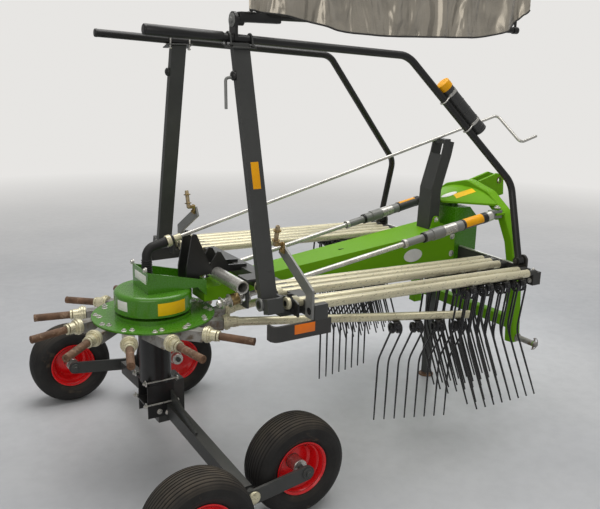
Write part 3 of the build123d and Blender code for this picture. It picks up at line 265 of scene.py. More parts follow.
NODE_MATERIALS = {
    "arm_bearings": casting, "arm_collars": cream, "arm_stubs": brown, "axle_beam": dark_grey,
    "crank_post": dark_grey, "crank_rod": zinc, "cross_tube": dark_grey, "curtain_arm": black,
    "curtain_bracket": black, "curtain_sheet": plastic, "document_tube": plastic,
    "elbow_boot": rubber, "fitted_arms": cream, "front_cross_member": bumper_black,
    "gearbox_bracket": green, "gearbox_cover": green, "guard_hoop_left": black,
    "guard_hoop_right": black, "guard_post_left": dark_grey, "guard_post_right": dark_grey,
    "headstock_arch": lime, "headstock_plate": lime, "latches": bronze, "main_beam": lime,
    "parking_stand_leg": dark_grey, "parking_stand_sleeve": green, "pivot_tube": zinc,
    "power_input": zinc, "rack_bars": grey_bar, "rotor_disc": green, "rotor_tines": tine_black,
    "side_bumpers": bumper_black, "stored_arms": cream, "stored_tines": tine_black,
    "strut_cylinder_left": grey_bar, "strut_cylinder_right": grey_bar, "strut_rod_left": zinc,
    "strut_rod_right": zinc, "support_column": black, "swivel_head": green,
    "tandem_bars": dark_grey, "tilt_link": dark_grey, "top_link_ears": lime,
}
for corner in ("front_left", "front_right", "rear_left", "rear_right"):
    NODE_MATERIALS[f"tyre_{corner}"] = rubber
    NODE_MATERIALS[f"rim_{corner}"] = red
for name, part in nodes.items():
    part.data.materials.clear()
    part.data.materials.append(NODE_MATERIALS[name])


# Mesh building: shapes are collected as points and faces, then made into one piece
def ring(middle, side, other, radius, sides, start=0):
    """Points of a circle in the plane of two directions."""
    angles = [start + 2 * pi * k / sides for k in range(sides)]
    return [middle + (side * cos(a) + other * sin(a)) * radius for a in angles]


class Shape:
    """Points and faces in millimetres from the rotor axis."""

    def __init__(self):
        self.points, self.faces = [], []

    def add(self, points, faces):
        start = len(self.points)
        self.points += [Vector(p) for p in points]
        self.faces += [tuple(start + i for i in face) for face in faces]
        return self

    def skin(self, points, rings, sides, closed=False):
        """Faces along a row of rings, each with the same number of points."""
        faces = []
        for i in range(rings if closed else rings - 1):
            j = (i + 1) % rings
            for k in range(sides):
                m = (k + 1) % sides
                faces.append((i * sides + k, i * sides + m, j * sides + m, j * sides + k))
        if not closed:
            faces.append(tuple(reversed(range(sides))))
            faces.append(tuple((rings - 1) * sides + k for k in range(sides)))
        return self.add(points, faces)

    def grid(self, points, width):
        """An open surface from rows of points, each row as long as width."""
        starts = [j * width + i for j in range(len(points) // width - 1) for i in range(width - 1)]
        return self.add(points, [(a, a + 1, a + width + 1, a + width) for a in starts])

    def tube(self, line, radius, sides=12):
        """A round bar along a line of points; radius is one value or one a point."""
        line = [Vector(p) for p in line]
        count = len(line)
        radii = radius if isinstance(radius, (list, tuple)) else [radius] * count
        ways = [(line[min(i + 1, count - 1)] - line[max(i - 1, 0)]).normalized() for i in range(count)]
        side = ways[0].orthogonal().normalized()
        points = []
        for i in range(count):
            if i:
                side = ways[i - 1].rotation_difference(ways[i]) @ side
                side = (side - ways[i] * side.dot(ways[i])).normalized()
            points += ring(line[i], side, ways[i].cross(side), radii[i], sides)
        return self.skin(points, count, sides)

    def turned(self, profile, place, way, sides=24, closed=False):
        """A turned shape: the profile gives (distance along, radius) from place."""
        place, way = Vector(place), Vector(way).normalized()
        side = way.orthogonal().normalized()
        points = []
        for along, radius in profile:
            points += ring(place + way * along, side, way.cross(side), radius, sides)
        return self.skin(points, len(profile), sides, closed)

    def hoop(self, profile, place, way, sides=24):
        """A turned shape whose profile closes on itself."""
        return self.turned(profile, place, way, sides, closed=True)

    def bolt(self, place, way, flats, height, washer=True, stud=0):
        """A hexagon head on a washer, with its corners turned off, and a stud's end."""
        place, way = Vector(place), Vector(way).normalized()
        lift = 0
        if washer:
            lift = flats * 0.13
            outer = flats * 0.98
            self.turned([(0, outer * 0.98), (lift * 0.7, outer), (lift, outer * 0.94)], place, way, 20)
        side = way.orthogonal().normalized()
        corner = flats / 2 / cos(pi / 6)
        points = []
        for along, share in ((lift, 1), (lift + height * 0.82, 1), (lift + height, 0.88)):
            points += ring(place + way * along, side, way.cross(side), corner * share, 6, 0.3)
        self.skin(points, 3, 6)
        if stud > 0:
            top = lift + height
            r = flats * 0.31
            self.turned([(top - 1, r), (top + stud - 1.2, r), (top + stud, r * 0.8)], place, way, 16)
        return self

    def slab(self, outline, place, across, upward, thick, bevel=0):
        """A plate from an outline in two directions, as thick as given, its front edge chamfered."""
        across, upward = Vector(across).normalized(), Vector(upward).normalized()
        out = across.cross(upward)
        middle = Vector((sum(p[0] for p in outline), sum(p[1] for p in outline))) / len(outline)
        rows = [(0, 0), (thick, 0)]
        if bevel > 0:
            rows = [(0, 0), (thick - bevel, 0), (thick, bevel)]
        points = []
        for depth, inset in rows:
            for i, here in enumerate(outline):
                p = Vector(here)
                if inset:
                    before = p - Vector(outline[i - 1])
                    after = Vector(outline[(i + 1) % len(outline)]) - p
                    n = Vector((-before.y, before.x)).normalized() + Vector((-after.y, after.x)).normalized()
                    n.normalize()
                    p = p + (n if n.dot(middle - p) >= 0 else -n) * inset
                points.append(Vector(place) + across * p.x + upward * p.y + out * depth)
        return self.skin(points, len(rows), len(outline))

    def block(self, low, high, bevel=1.5):
        """A block between two corners with chamfered edges on all sides."""
        made = bmesh.new()
        bmesh.ops.create_cube(made, size=1)
        low, high = Vector(low), Vector(high)
        size, middle = high - low, (low + high) / 2
        for v in made.verts:
            v.co = Vector((v.co.x * size.x, v.co.y * size.y, v.co.z * size.z)) + middle
        if bevel > 0:
            bmesh.ops.bevel(
                made, geom=list(made.edges), offset=min(bevel, min(size) * 0.3), segments=2,
                profile=0.5, affect="EDGES",
            )
        made.verts.index_update()
        self.add([v.co.copy() for v in made.verts], [[v.index for v in f.verts] for f in made.faces])
        made.free()
        return self

    def moved(self, matrix):
        """A copy of this shape put through a matrix."""
        copy = Shape()
        copy.points = [matrix @ p for p in self.points]
        copy.faces = list(self.faces)
        return copy

    def join(self, other):
        self.add(other.points, other.faces)

    def piece(self, name, material, body="chassis", sharp=35, replaces=(), slot=None):
        """The shape as one object on a body. The slot argument is not used."""
        mesh = bpy.data.meshes.new(name)
        mesh.from_pydata([at(*p) for p in self.points], [], self.faces)
        fixed = bmesh.new()
        fixed.from_mesh(mesh)
        bmesh.ops.recalc_face_normals(fixed, faces=fixed.faces)
        fixed.to_mesh(mesh)
        fixed.free()
        mesh.shade_smooth()
        mesh.set_sharp_from_angle(angle=radians(sharp))
        mesh.materials.append(material)
        made = bpy.data.objects.new(name, mesh)
        bpy.context.scene.collection.objects.link(made)
        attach(made, body)
        if replaces:
            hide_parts(*replaces)
        return made


def arc(middle, first, second, radius, start, end, steps):
    """Points of an arc in the plane of two directions; angles in degrees."""
    middle, first, second = Vector(middle), Vector(first).normalized(), Vector(second).normalized()
    return [
        middle + (first * cos(a) + second * sin(a)) * radius
        for a in (radians(start + (end - start) * k / steps) for k in range(steps + 1))
    ]


def rounded_path(points, radius, steps=8):
    """A path through points with its corners rounded."""
    points = [Vector(p) for p in points]
    path = [points[0]]
    for before, here, after in zip(points, points[1:], points[2:]):
        a, b = (before - here).normalized(), (after - here).normalized()
        half = a.angle(b) / 2
        reach = radius / math.tan(half)
        middle = here + (a + b).normalized() * (radius / sin(half))
        first, last = here + a * reach - middle, here + b * reach - middle
        sweep = first.angle(last)
        axis = first.cross(last).normalized()
        for k in range(steps + 1):
            path.append(middle + Quaternion(axis, sweep * k / steps) @ first)
    path.append(points[-1])
    return path


# Floor and light
AMBIENT = 0.36
WALL = 0.80
WALL_COLOUR = (1, 0.985, 0.96)
FADE_START, FADE_END = 3, 9


def floor_material():
    """Sealed concrete: pale, slightly glossy, with faint patches."""
    mat = bpy.data.materials.new("floor")
    mat.use_nodes = True
    tree = mat.node_tree
    shader = find(tree, "BSDF_PRINCIPLED")
    place = node(tree, "TexCoord").outputs["Object"]
    wide = clouds(tree, place, 0.9, 4, 0.5)
    fine = clouds(tree, place, 14, 6, 0.6)
    tone = blend(tree, ramp(tree, wide, 0.35, 0.65), (0.50, 0.515, 0.54), (0.60, 0.61, 0.63))
    tone = blend(tree, ramp(tree, fine, 0.4, 0.75, 0, 0.25), tone, (0.42, 0.43, 0.45))
    tree.links.new(tone, shader.inputs["Base Color"])
    tree.links.new(ramp(tree, fine, 0.3, 0.7, 0.30, 0.46), shader.inputs["Roughness"])
    shader.inputs["Specular IOR Level"].default_value = 0.35
    away = node(tree, "VectorMath", {0: place}, operation="LENGTH").outputs["Value"]
    seen = node(tree, "LightPath").outputs["Is Camera Ray"]
    fade = math_of(tree, "MULTIPLY", ramp(tree, away, FADE_START, FADE_END), seen)
    glow = node(tree, "Emission", {"Color": rgba(WALL_COLOUR), "Strength": WALL})
    mixed = node(tree, "MixShader", {0: fade, 1: shader.outputs[0], 2: glow.outputs[0]})
    out = find(tree, "OUTPUT_MATERIAL")
    tree.links.new(mixed.outputs[0], out.inputs["Surface"])
    return mat


bpy.ops.mesh.primitive_circle_add(vertices=96, radius=22, fill_type="NGON", location=(0, 0, 0))
floor = bpy.context.object
floor.name = "floor"
floor.data.materials.append(floor_material())

world = bpy.data.worlds.new("world")
bpy.context.scene.world = world
world.use_nodes = True
sky = world.node_tree
background = find(sky, "BACKGROUND")
path = node(sky, "LightPath")
seen = math_of(sky, "MAXIMUM", path.outputs["Is Camera Ray"], path.outputs["Is Transmission Ray"])
strength = node(sky, "MapRange", {0: seen, 1: 0, 2: 1, 3: AMBIENT, 4: WALL})
background.inputs["Color"].default_value = rgba(WALL_COLOUR)
sky.links.new(strength.outputs[0], background.inputs["Strength"])


def lamp(name, place, target, size, power, colour=(1, 1, 1), width=None):
    """An area lamp, places in metres in the frame."""
    data = bpy.data.lights.new(name, "AREA")
    data.energy = power
    data.color = colour
    data.shape = "RECTANGLE"
    data.size = size
    data.size_y = width or size
    made = bpy.data.objects.new(name, data)
    bpy.context.scene.collection.objects.link(made)
    made.location = place
    made.rotation_euler = (Vector(target) - Vector(place)).to_track_quat("-Z", "Y").to_euler()
    return made


lamp("overhead", (0.3, 0.4, 4.6), (0, 0, 0.6), 5, 160, (1, 0.99, 0.97), 3.4)
lamp("windows", (3.6, 4.2, 2.6), (0.1, 0, 0.9), 4.6, 42, (0.95, 0.98, 1), 2.2)
lamp("fill", (-3.4, -3.8, 2.9), (0.1, 0, 0.7), 4.4, 50, (1, 0.97, 0.93), 3)

# Tyres: turned from one profile with ribs, grooves and bead rings
REAR_AXLE_X, FRONT_AXLE_X = -170, 344
# corner, place along, side (-1 right, 1 left), distance from the middle, which way the rim faces
WHEELS = (
    ("rear_right", REAR_AXLE_X, -1, 836, -1),
    ("rear_left", REAR_AXLE_X, 1, 836, 1),
    ("front_right", FRONT_AXLE_X, -1, 637, 1),
    ("front_left", FRONT_AXLE_X, 1, 637, -1),
)
TYRE_R = 205
AXLE_Z = 205
# half profile from the bead to the middle of the tread: distance from the middle, radius
SIDEWALL = (
    (61, 102.4), (62, 110), (61.5, 117), (66, 120), (69, 123.5), (71, 127),
    (75.5, 133), (78.5, 139), (80.3, 144.5), (80.3, 146), (81.5, 147.5), (82.3, 153),
    (82.3, 160), (81.4, 167), (79.6, 173.5), (79.2, 175), (77.8, 176.5), (75.8, 181),
    (72.3, 186), (70.3, 188), (70, 189.8), (66.5, 192.2),
)
GROOVES = (60, 45, 30, 15, 0)


def tread_radius(w):
    """Crown of the tread."""
    return TYRE_R - 11 * (abs(w) / 66) ** 2.4


def tyre_profile():
    half = list(SIDEWALL)
    for groove in GROOVES:
        r = tread_radius(groove)
        half += [(groove + 4.2, tread_radius(groove + 4.2)), (groove + 2.4, r - 0.6), (groove + 1.6, r - 3.6)]
        if groove > 0:
            half += [(groove - 1.6, r - 3.6), (groove - 2.4, r - 0.6)]
            half.append((groove - 4.2, tread_radius(groove - 4.2)))
    return half + [(-w, r) for w, r in reversed(half)]


tyre_mat = surface(
    "tyre_rubber", (0.020, 0.019, 0.018), 0.62, shade=0.7, light=1.3, patch_scale=10,
    grain_scale=240, bump=0.35, bump_size=0.0006, stain=(0.085, 0.062, 0.042), stain_share=0.30,
    stain_scale=9, dust=0.75, dust_colour=(0.15, 0.12, 0.085), specular=0.3, edge=0.0008,
)
RIM_LINE = (
    (-67, 110), (-66.5, 113.6), (-64, 114), (-61.5, 111.5), (-60, 104), (-40, 101),
    (-34, 92), (-6, 88), (16, 88), (34, 92), (40, 101), (60, 104),
    (61.5, 111.5), (64, 114), (66.5, 113.6), (67, 110), (64, 107), (58, 99.5),
    (43, 97), (37, 88.5), (30, 84), (26, 72), (20, 60), (17, 46),
    (15, 32), (10, 32), (11.5, 46), (14, 61), (19, 73.5), (12, 84.5),
    (-6, 84), (-31, 88.5), (-37, 97), (-58, 99.5), (-64, 107),
)
HUB_LINE = (
    (-52, 18), (-52, 29), (-50, 31), (-20, 31), (-18, 30), (14, 30), (16, 36), (22, 36), (23, 31),
    (50, 31), (52, 29), (52, 12.6),
)
VALVE_LINE = ((0, 5.5), (8, 5.5), (10, 3.8), (30, 3.6), (31, 4.4), (41, 4.2), (42, 3))
VALVE_TURN, VALVE_REACH = radians(40), 82
for corner, x, side, out, faces in WHEELS:
    middle = Vector((x, side * out, AXLE_Z))
    way = (0, faces, 0)
    body = f"wheel_{corner}"
    tyre = Shape().hoop(tyre_profile(), middle, way, 96)
    tyre.piece(f"tyre_{corner}_detail", tyre_mat, body, sharp=50, replaces=(f"tyre_{corner}",))
    rim = Shape().hoop(RIM_LINE, middle, way, 72)
    rim.piece(f"rim_{corner}_detail", red, body, sharp=45, replaces=(f"rim_{corner}",))
    Shape().turned(HUB_LINE, middle, way, 36).piece(f"hub_{corner}", zinc, body)
    foot = middle + Vector((cos(VALVE_TURN) * VALVE_REACH, faces * 12, sin(VALVE_TURN) * VALVE_REACH))
    Shape().turned(VALVE_LINE, foot, way, 12).piece(f"valve_{corner}", rubber, body)

# Tines: one wire with two coils, bent from tip to tip
WIRE_R = 4.75
COIL_R = 21.25
COIL_DROP = 56
HALF_SPREAD = 26.75
COIL_IN = 9
TINE_UPPER = 225
TINE_LOWER = 310
TINE_BEND = 35
TINE_PITCH = 107
TURNS = 2
KNEE_R = 120


def tine_line(lean):
    """The wire's middle line for one side, from the tip up through the coil to the centre loop."""
    upper, lower = radians(lean), radians(lean - TINE_BEND)
    start = Vector((HALF_SPREAD, -COIL_R * cos(upper), -COIL_DROP - COIL_R * sin(upper)))
    knee = start + Vector((0, sin(upper), -cos(upper))) * TINE_UPPER
    tip = knee + Vector((0, sin(lower), -cos(lower))) * TINE_LOWER
    line = [tip, tip.lerp(knee, 0.5)]
    line += rounded_path([tip, knee, start], KNEE_R, 6)[1:-1]
    line.append(start.lerp(knee, 0.4))
    first = pi + upper
    sweep = upper + 2 * pi * TURNS
    steps = 34
    for k in range(steps + 1):
        share = k / steps
        a = first - sweep * share
        x = HALF_SPREAD + (COIL_IN - HALF_SPREAD) * share
        line.append(Vector((x, COIL_R * cos(a), -COIL_DROP + COIL_R * sin(a))))
    line.append(Vector((COIL_IN, -COIL_R, -COIL_DROP + 12)))
    return line


def tine_shape(lean):
    """One double tine under a tube that runs along X."""
    one = tine_line(lean)
    top = -COIL_DROP + 12
    bridge = arc((0, -COIL_R, top), (1, 0, 0), (0, 0, 1), COIL_IN, 15, 165, 8)
    two = [Vector((-p.x, p.y, p.z)) for p in reversed(one)]
    line = one + bridge + two
    radii = [WIRE_R] * len(line)
    radii[0] = radii[-1] = WIRE_R * 0.75
    made = Shape()
    made.tube(line, radii, 8)
    made.block((-15, -30, -46), (15, -8, -20), 2.5)
    made.block((-17, -26, -24), (17, 12, -18.6), 1.2)
    made.bolt((0, -30, -34), (0, -1, 0), 17, 9)
    return made


ARM_PHASE = -17
ARM_COUNT = 12
ARM_STEP = 360 / ARM_COUNT
ARM_OFFSET = 116
ARM_ROOT_Z = 695
ARM_SLOPE = 0.037
TINE_LAST = 1412
TINES_PER_ARM = 4
FITTED = (0, 1)


def arm_place(i):
    """The frame of arm i: X runs out along it."""
    turn = Matrix.Rotation(radians(ARM_PHASE + i * ARM_STEP), 4, "Z")
    shift = Matrix.Translation((0, -ARM_OFFSET, ARM_ROOT_Z))
    droop = Matrix.Rotation(math.atan2(ARM_SLOPE, 1), 4, "Y")
    return turn @ shift @ droop


fitted = tine_shape(33)
rotor_tines = Shape()
for i in FITTED:
    for k in range(TINES_PER_ARM):
        place = arm_place(i) @ Matrix.Translation((TINE_LAST - k * TINE_PITCH, 0, 0))
        rotor_tines.join(fitted.moved(place))
rotor_tines.piece("rotor_tines_wire", tine_black, "rotor", sharp=40, replaces=("rotor_tines",))

RACK_REAR = (330, 865.6)
RACK_FRONT = (1630, 830)
# side (-1 right, 1 left), distance from the middle, place of the foremost tine
RACKED_ARMS = (
    (-1, 335, 1588), (-1, 390, 1578), (-1, 445, 1578), (-1, 572, 1578),
    (-1, 632, 1578), (1, 380, 1568), (1, 440, 1568), (1, 500, 1568),
    (1, 560, 1568), (1, 620, 1568),
)
rack_droop = math.atan2(RACK_REAR[1] - RACK_FRONT[1], RACK_FRONT[0] - RACK_REAR[0])


def rack_z(x):
    """Height of the stored arms' axes."""
    return RACK_REAR[1] - (x - RACK_REAR[0]) * math.tan(rack_droop)


stored = tine_shape(6)
stored_tines = Shape()
for side, y, first_x in RACKED_ARMS:
    for k in range(TINES_PER_ARM):
        tine_x = first_x - k * TINE_PITCH
        place = Matrix.Translation((tine_x, side * y, rack_z(tine_x)))
        stored_tines.join(stored.moved(place @ Matrix.Rotation(rack_droop, 4, "Y")))
stored_tines.piece("stored_tines_wire", tine_black, sharp=40, replaces=("stored_tines",))

# Swath curtain: coated cloth hung from a top bar, with a hem, a piping and soft folds
CLOTH_LOW = (
    (280, 1972), (560, 1944), (720, 1906), (960, 1896), (1530, 1908),
    (1700, 1948), (1790, 2010), (1812, 2090),
)
CLOTH_TOP = 2318
CLOTH_X = (290, 1806)
CLOTH_Y = -309.6
CLOTH_COLUMNS, CLOTH_ROWS = 300, 44
FOLD_DEPTH = 34
FOLDS = 9.5
HEM = 26
CURTAIN_BAR = (-295, 1950)


def cloth_edge(x):
    """Height of the cloth's lower edge, rounded between the points of its cut."""
    total = 0
    for shift in (-70, -35, 0, 35, 70):
        place = min(max(x + shift, CLOTH_LOW[0][0]), CLOTH_LOW[-1][0])
        for (x0, z0), (x1, z1) in zip(CLOTH_LOW, CLOTH_LOW[1:]):
            if x0 <= place <= x1:
                total += z0 + (z1 - z0) * (place - x0) / (x1 - x0)
                break
    return total / 5


def cloth_point(u, height, out=0):
    """A point of the cloth: u along it, height above its lower edge as a share."""
    x = CLOTH_X[0] + u * (CLOTH_X[1] - CLOTH_X[0]) + 14 * u * height
    low = cloth_edge(x)
    z = low + height * (CLOTH_TOP - low)
    hang = 1 - height
    turn = FOLDS * u + 0.30 * sin(2 * pi * 1.7 * u + 0.6) + 0.10 * sin(2 * pi * 4.3 * u) + 0.22 * hang
    fold = (0.5 - 0.5 * cos(2 * pi * turn)) ** 1.5
    depth = 2 + FOLD_DEPTH * hang ** 0.6 * (0.6 + 0.4 * sin(2 * pi * 1.3 * u + 1))
    crease = 2.6 * noise.noise(Vector((x * 0.007, z * 0.014, 3.1)))
    crease += 1.1 * noise.noise(Vector((x * 0.03, z * 0.02, 7.7)))
    return Vector((x, CLOTH_Y - depth * fold - max(crease + 2, 0) - out, z))


cloth = Shape()
rows = [
    cloth_point(i / CLOTH_COLUMNS, j / CLOTH_ROWS)
    for j in range(CLOTH_ROWS + 1)
    for i in range(CLOTH_COLUMNS + 1)
]
cloth.grid(rows, CLOTH_COLUMNS + 1)
cloth_grey = surface(
    "grey_coated_cloth", (0.46, 0.42, 0.35), 0.25, metal=0.6, coat=0.3, shade=0.85, light=1.12,
    patch_scale=4, grain_scale=900, bump=0.2, bump_size=0.0003, dust=0.05, edge=0.0005,
    stain=(0.24, 0.21, 0.17), stain_share=0.10, stain_scale=6,
)
cloth_tree = cloth_grey.node_tree
cloth_shader = find(cloth_tree, "BSDF_PRINCIPLED")
cloth_shader.inputs["Sheen Weight"].default_value = 0.2
cloth_place = node(cloth_tree, "TexCoord").outputs["Object"]
slant = {"Vector": cloth_place, "Rotation": (0, 0.5, 0), "Scale": (5.2, 1, 1.6)}
slanted = node(cloth_tree, "Mapping", slant)
creases = clouds(cloth_tree, slanted.outputs[0], 1.5, 2.5, 0.5, 0.7)
weave = cloth_shader.inputs["Normal"].links[0].from_socket
swell = node(cloth_tree, "Bump", {"Strength": 1, "Distance": 0.09, "Height": creases, "Normal": weave})
cloth_tree.links.new(swell.outputs[0], cloth_shader.inputs["Normal"])
cloth_black = surface(
    "black_piping", (0.020, 0.019, 0.018), 0.5, grain_scale=700, bump=0.3, bump_size=0.0003, dust=0.1
)
curtain_cloth = cloth.piece(
    "curtain_cloth", cloth_grey, "curtain", sharp=180, replaces=("curtain_sheet",), slot="grey_cloth"
)
hem = Shape()
hem_points = []
for i in range(CLOTH_COLUMNS + 1):
    u = i / CLOTH_COLUMNS
    share = HEM / (CLOTH_TOP - cloth_edge(CLOTH_X[0] + u * (CLOTH_X[1] - CLOTH_X[0])))
    hem_points += [cloth_point(u, 0, 1.4), cloth_point(u, share, 1.4)]
hem.add(hem_points, [(2 * i, 2 * i + 2, 2 * i + 3, 2 * i + 1) for i in range(CLOTH_COLUMNS)])
curtain_hem = hem.piece("curtain_hem", cloth_grey, "curtain", sharp=180, slot="grey_cloth")
piping = Shape()
piping.tube([cloth_point(i / 150, 0, 1) for i in range(151)], 4, 8)
curtain_piping = piping.piece("curtain_piping", cloth_black, "curtain", sharp=60, slot="black_plastic")
bar_y, bar_z = CURTAIN_BAR
stay_top = CLOTH_TOP - 2
STAY_X = (322, 1042, 1762)
first, last = STAY_X[0], STAY_X[2]
stay = Shape()
stay_line = [(first, bar_y, bar_z), (first, bar_y, stay_top), (last, bar_y, stay_top), (last, bar_y, bar_z)]
stay.tube(rounded_path(stay_line, 26, 6), 6.5, 12)
for x in STAY_X:
    stay.hoop([(-14, 13.4), (-14, 16.5), (14, 16.5), (14, 13.4)], (x, bar_y, bar_z), (1, 0, 0), 20)
for k in range(9):
    stay.hoop([(-9, 6.6), (-9, 8.6), (9, 8.6), (9, 6.6)], (350 + k * 172, bar_y, stay_top), (1, 0, 0), 16)
stay.block((262, -317, 1925), (446, -282, 1964), 6)
stay.piece("curtain_frame", black, "curtain", sharp=40)
LOBE_LINE = ((0, 26), (3, 26), (3.6, 24), (3.6, 12), (9, 11), (10, 9))
lobe_face = Shape().turned(LOBE_LINE, (240, -295, 1932), (-1, 0, 0), 32)
lobe_face.piece("curtain_lobe_face", grey_bar, "guard_right", sharp=40, slot="black_paint")

# Rotor head: bolts, clamp rings, cover blanks and the open bracket's pins
DISC_TOP = 708
# places out along an arm
DISC_BOLT_AT, CLAMP_AT, COLLAR_AT, STUB_AT = 208, 296, 346, 504
COVER_R = 167
CLAMP_LINE = ((0, 31.2), (0, 34), (2, 35.5), (11, 35.5), (13, 34), (13, 31.2))
COLLAR_LINE = ((0, 16.2), (0, 21), (1.5, 22.5), (9, 22.5), (10, 21), (10, 16.2))
STUB_LINE = ((-2, 16.3), (3, 16.3), (4, 15.4), (4, 6.5), (1, 6), (-3, 5.8))
head_bolts, rings, stub_ends = Shape(), Shape(), Shape()
for i in range(ARM_COUNT):
    place = arm_place(i)
    way = (place.to_3x3() @ Vector((1, 0, 0))).normalized()
    for y in (-16, 16):
        spot = place @ Vector((DISC_BOLT_AT, y, 0))
        head_bolts.bolt((spot.x, spot.y, DISC_TOP), (0, 0, 1), 13, 7)
    rings.hoop(CLAMP_LINE, place @ Vector((CLAMP_AT, 0, 0)), way, 24)
    rings.hoop(COLLAR_LINE, place @ Vector((COLLAR_AT, 0, 0)), way, 20)
    if i not in FITTED:
        stub_ends.turned(STUB_LINE, place @ Vector((STUB_AT, 0, 0)), way, 24)
head_bolts.piece("disc_bolts", zinc, "rotor")
rings.piece("arm_clamp_rings", cream, "rotor")
stub_ends.piece("stub_ends", brown, "rotor")


def wrapped_blank(name, body, material, middle, way, radius, low, high, first, last, slot_name):
    """A thin blank plate wrapped round a bar; angles in degrees from the zero direction."""
    middle, way = Vector(middle), Vector(way).normalized()
    zero = (Vector((1, 0, 0)) - way * way.x).normalized() if abs(way.x) < 0.9 else Vector((0, -1, 0))
    zero = (zero - way * way.dot(zero)).normalized()
    other = way.cross(zero)
    points = []
    steps = 20
    for j, along in enumerate((low, low + 1.2, high - 1.2, high)):
        for k in range(steps + 1):
            a = radians(first + (last - first) * k / steps)
            r = radius + (0.15 if j in (0, 3) or k in (0, steps) else 0.6)
            points.append(middle + way * along + (zero * cos(a) + other * sin(a)) * r)
    made = Shape()
    made.grid(points, steps + 1)
    return made.piece(name, material, body, sharp=60, slot=slot_name)


cover = ((0, 0, 0), (0, 0, 1), COVER_R)
wrapped_blank("cover_blank_right", "chassis", yellow_blank, *cover, 746, 800, -104, -58, "green_paint")
wrapped_blank("cover_blank_rear", "chassis", white_blank, *cover, 758, 800, -172, -150, "green_paint")

bracket = Shape()
for y in (-78, 78):
    bracket.turned([(0, 13), (4, 13), (5, 12), (5, 9), (12, 8.5), (13, 7)], (-56, y, 926), (-1, 0, 0), 24)
bracket.piece("bracket_pins", zinc)

bracket_blank = Shape().block((-57.6, -74, 862), (-55.4, 62, 898), 0.5)
bracket_blank.piece("bracket_blank", white_blank, slot="green_paint")

# Tilt link: each plate with its two crests over the pivot tube
LINK_OUTLINE = (
    (137, 832.8), (137, 892), (166, 1044), (176, 1051), (188, 1048), (196, 1030),
    (250, 902), (282, 952), (292, 960), (304, 957), (310, 946), (340, 894),
    (432, 888), (432, 875.4), (402.6, 875.4), (402.6, 862),
)
PIVOT_TUBE, NOTCH_R = (283, 862), 29.4
turns = [pi * k / 14 for k in range(15)]
link_notch = [(PIVOT_TUBE[0] + NOTCH_R * cos(a), PIVOT_TUBE[1] + NOTCH_R * sin(a)) for a in turns]
link_outline = list(LINK_OUTLINE) + link_notch + [(200, 862), (196, 832.8)]
link_plates = Shape()
for y in (-45, 45):
    link_plates.slab(link_outline, (0, y + 5, 0), (1, 0, 0), (0, 0, 1), 10)
link_plates.piece("tilt_link_plates", black, replaces=("tilt_link",), slot="dark_grey_paint")

# Elbow boot: bellows ribs and its two pale collars
BOOT_X = -24
RIB_LINE = ((-3.2, 19.6), (-2.6, 22), (-1.2, 23.4), (1.2, 23.4), (2.6, 22), (3.2, 19.6))
boot = Shape()
for k in range(9):
    boot.hoop(RIB_LINE, (BOOT_X, 0, 872 + k * 9.4), (0, 0, 1), 28)
boot.piece("boot_ribs", rubber, sharp=50)
CRANK_START, CRANK_END = Vector((96, 0, 1028)), Vector((2000, 0, 1521))
crank_way = (CRANK_END - CRANK_START).normalized()
FOOT_LINE = ((-9, 22), (-9, 25.5), (-7, 26.5), (7, 26.5), (9, 25.5), (9, 22))
HEAD_LINE = ((-30, 20.5), (-30, 24.5), (-28, 25.5), (-12, 25.5), (-10, 24.5), (-10, 20.5))
CRANK_LINE = ((-9, 8.3), (-9, 13), (-7, 14), (22, 14), (24, 12), (24, 8.3))
collars = Shape().hoop(FOOT_LINE, (BOOT_X, 0, 858), (0, 0, 1), 28)
collars.hoop(HEAD_LINE, CRANK_START, crank_way, 28).hoop(CRANK_LINE, (110, 0, 1031.6), crank_way, 24)
collars.piece("boot_collars", cream, sharp=40)

# Running gear: axle nuts, pivot caps with grease nipples, column clamp plates
AXLE_CAP = ((0, 23), (3, 23), (4, 22), (4, 12))
PIVOT_CAP = ((0, 27), (3, 27), (6, 25), (9, 20), (10.5, 12), (11, 5))
NIPPLE = ((0, 4.5), (5, 4.5), (6, 3), (11, 2.6), (12, 3.4), (15, 2.2))
# place along, distance from the middle, thickness of the cap, way out (1) or in (-1)
AXLE_ENDS = ((FRONT_AXLE_X, 742.6, 3.8, 1), (REAR_AXLE_X, 730.4, 3.8, -1))
gear, caps = Shape(), Shape()
for side in (-1, 1):
    for x, y, thick, outward in AXLE_ENDS:
        way = (0, side * outward, 0)
        gear.turned(AXLE_CAP, (x, side * y, AXLE_Z), way, 28)
        gear.bolt((x, side * (y + thick * outward), AXLE_Z), way, 22, 9)
    caps.turned(PIVOT_CAP, (104, side * 742.6, 172), (0, side, 0), 32)
    caps.turned(NIPPLE, (104, side * 750, 190), (0, side * 0.6, 1), 12)
gear.piece("axle_nuts", dark_grey)
caps.piece("tandem_pivot_caps", cream)
CLAMP_LOWS = (400, 293)
clamp, clamp_bolts = Shape(), Shape()
for low in CLAMP_LOWS:
    clamp.block((-68, -64, low), (68, 64, low + 8), 1.5)
    for side in (-1, 1):
        rear, front = (-70, side * 66.5, low + 11), (70, side * 66.5, low + 11)
        clamp_bolts.tube([rear, front], 4.2, 12)
        clamp_bolts.bolt(rear, (-1, 0, 0), 15, 8, stud=4).bolt(front, (1, 0, 0), 15, 8)
clamp.block((-62, -61, 236), (62, -55.8, 392), 1.2).block((-62, 55.8, 236), (62, 61, 392), 1.2)
clamp.piece("column_clamp_plates", black)
for x, z in ((-8, 262), (30, 250)):
    for side in (-1, 1):
        clamp_bolts.bolt((x, side * 61, z), (0, side, 0), 13, 6)
clamp_bolts.piece("column_clamp_bolts", zinc)

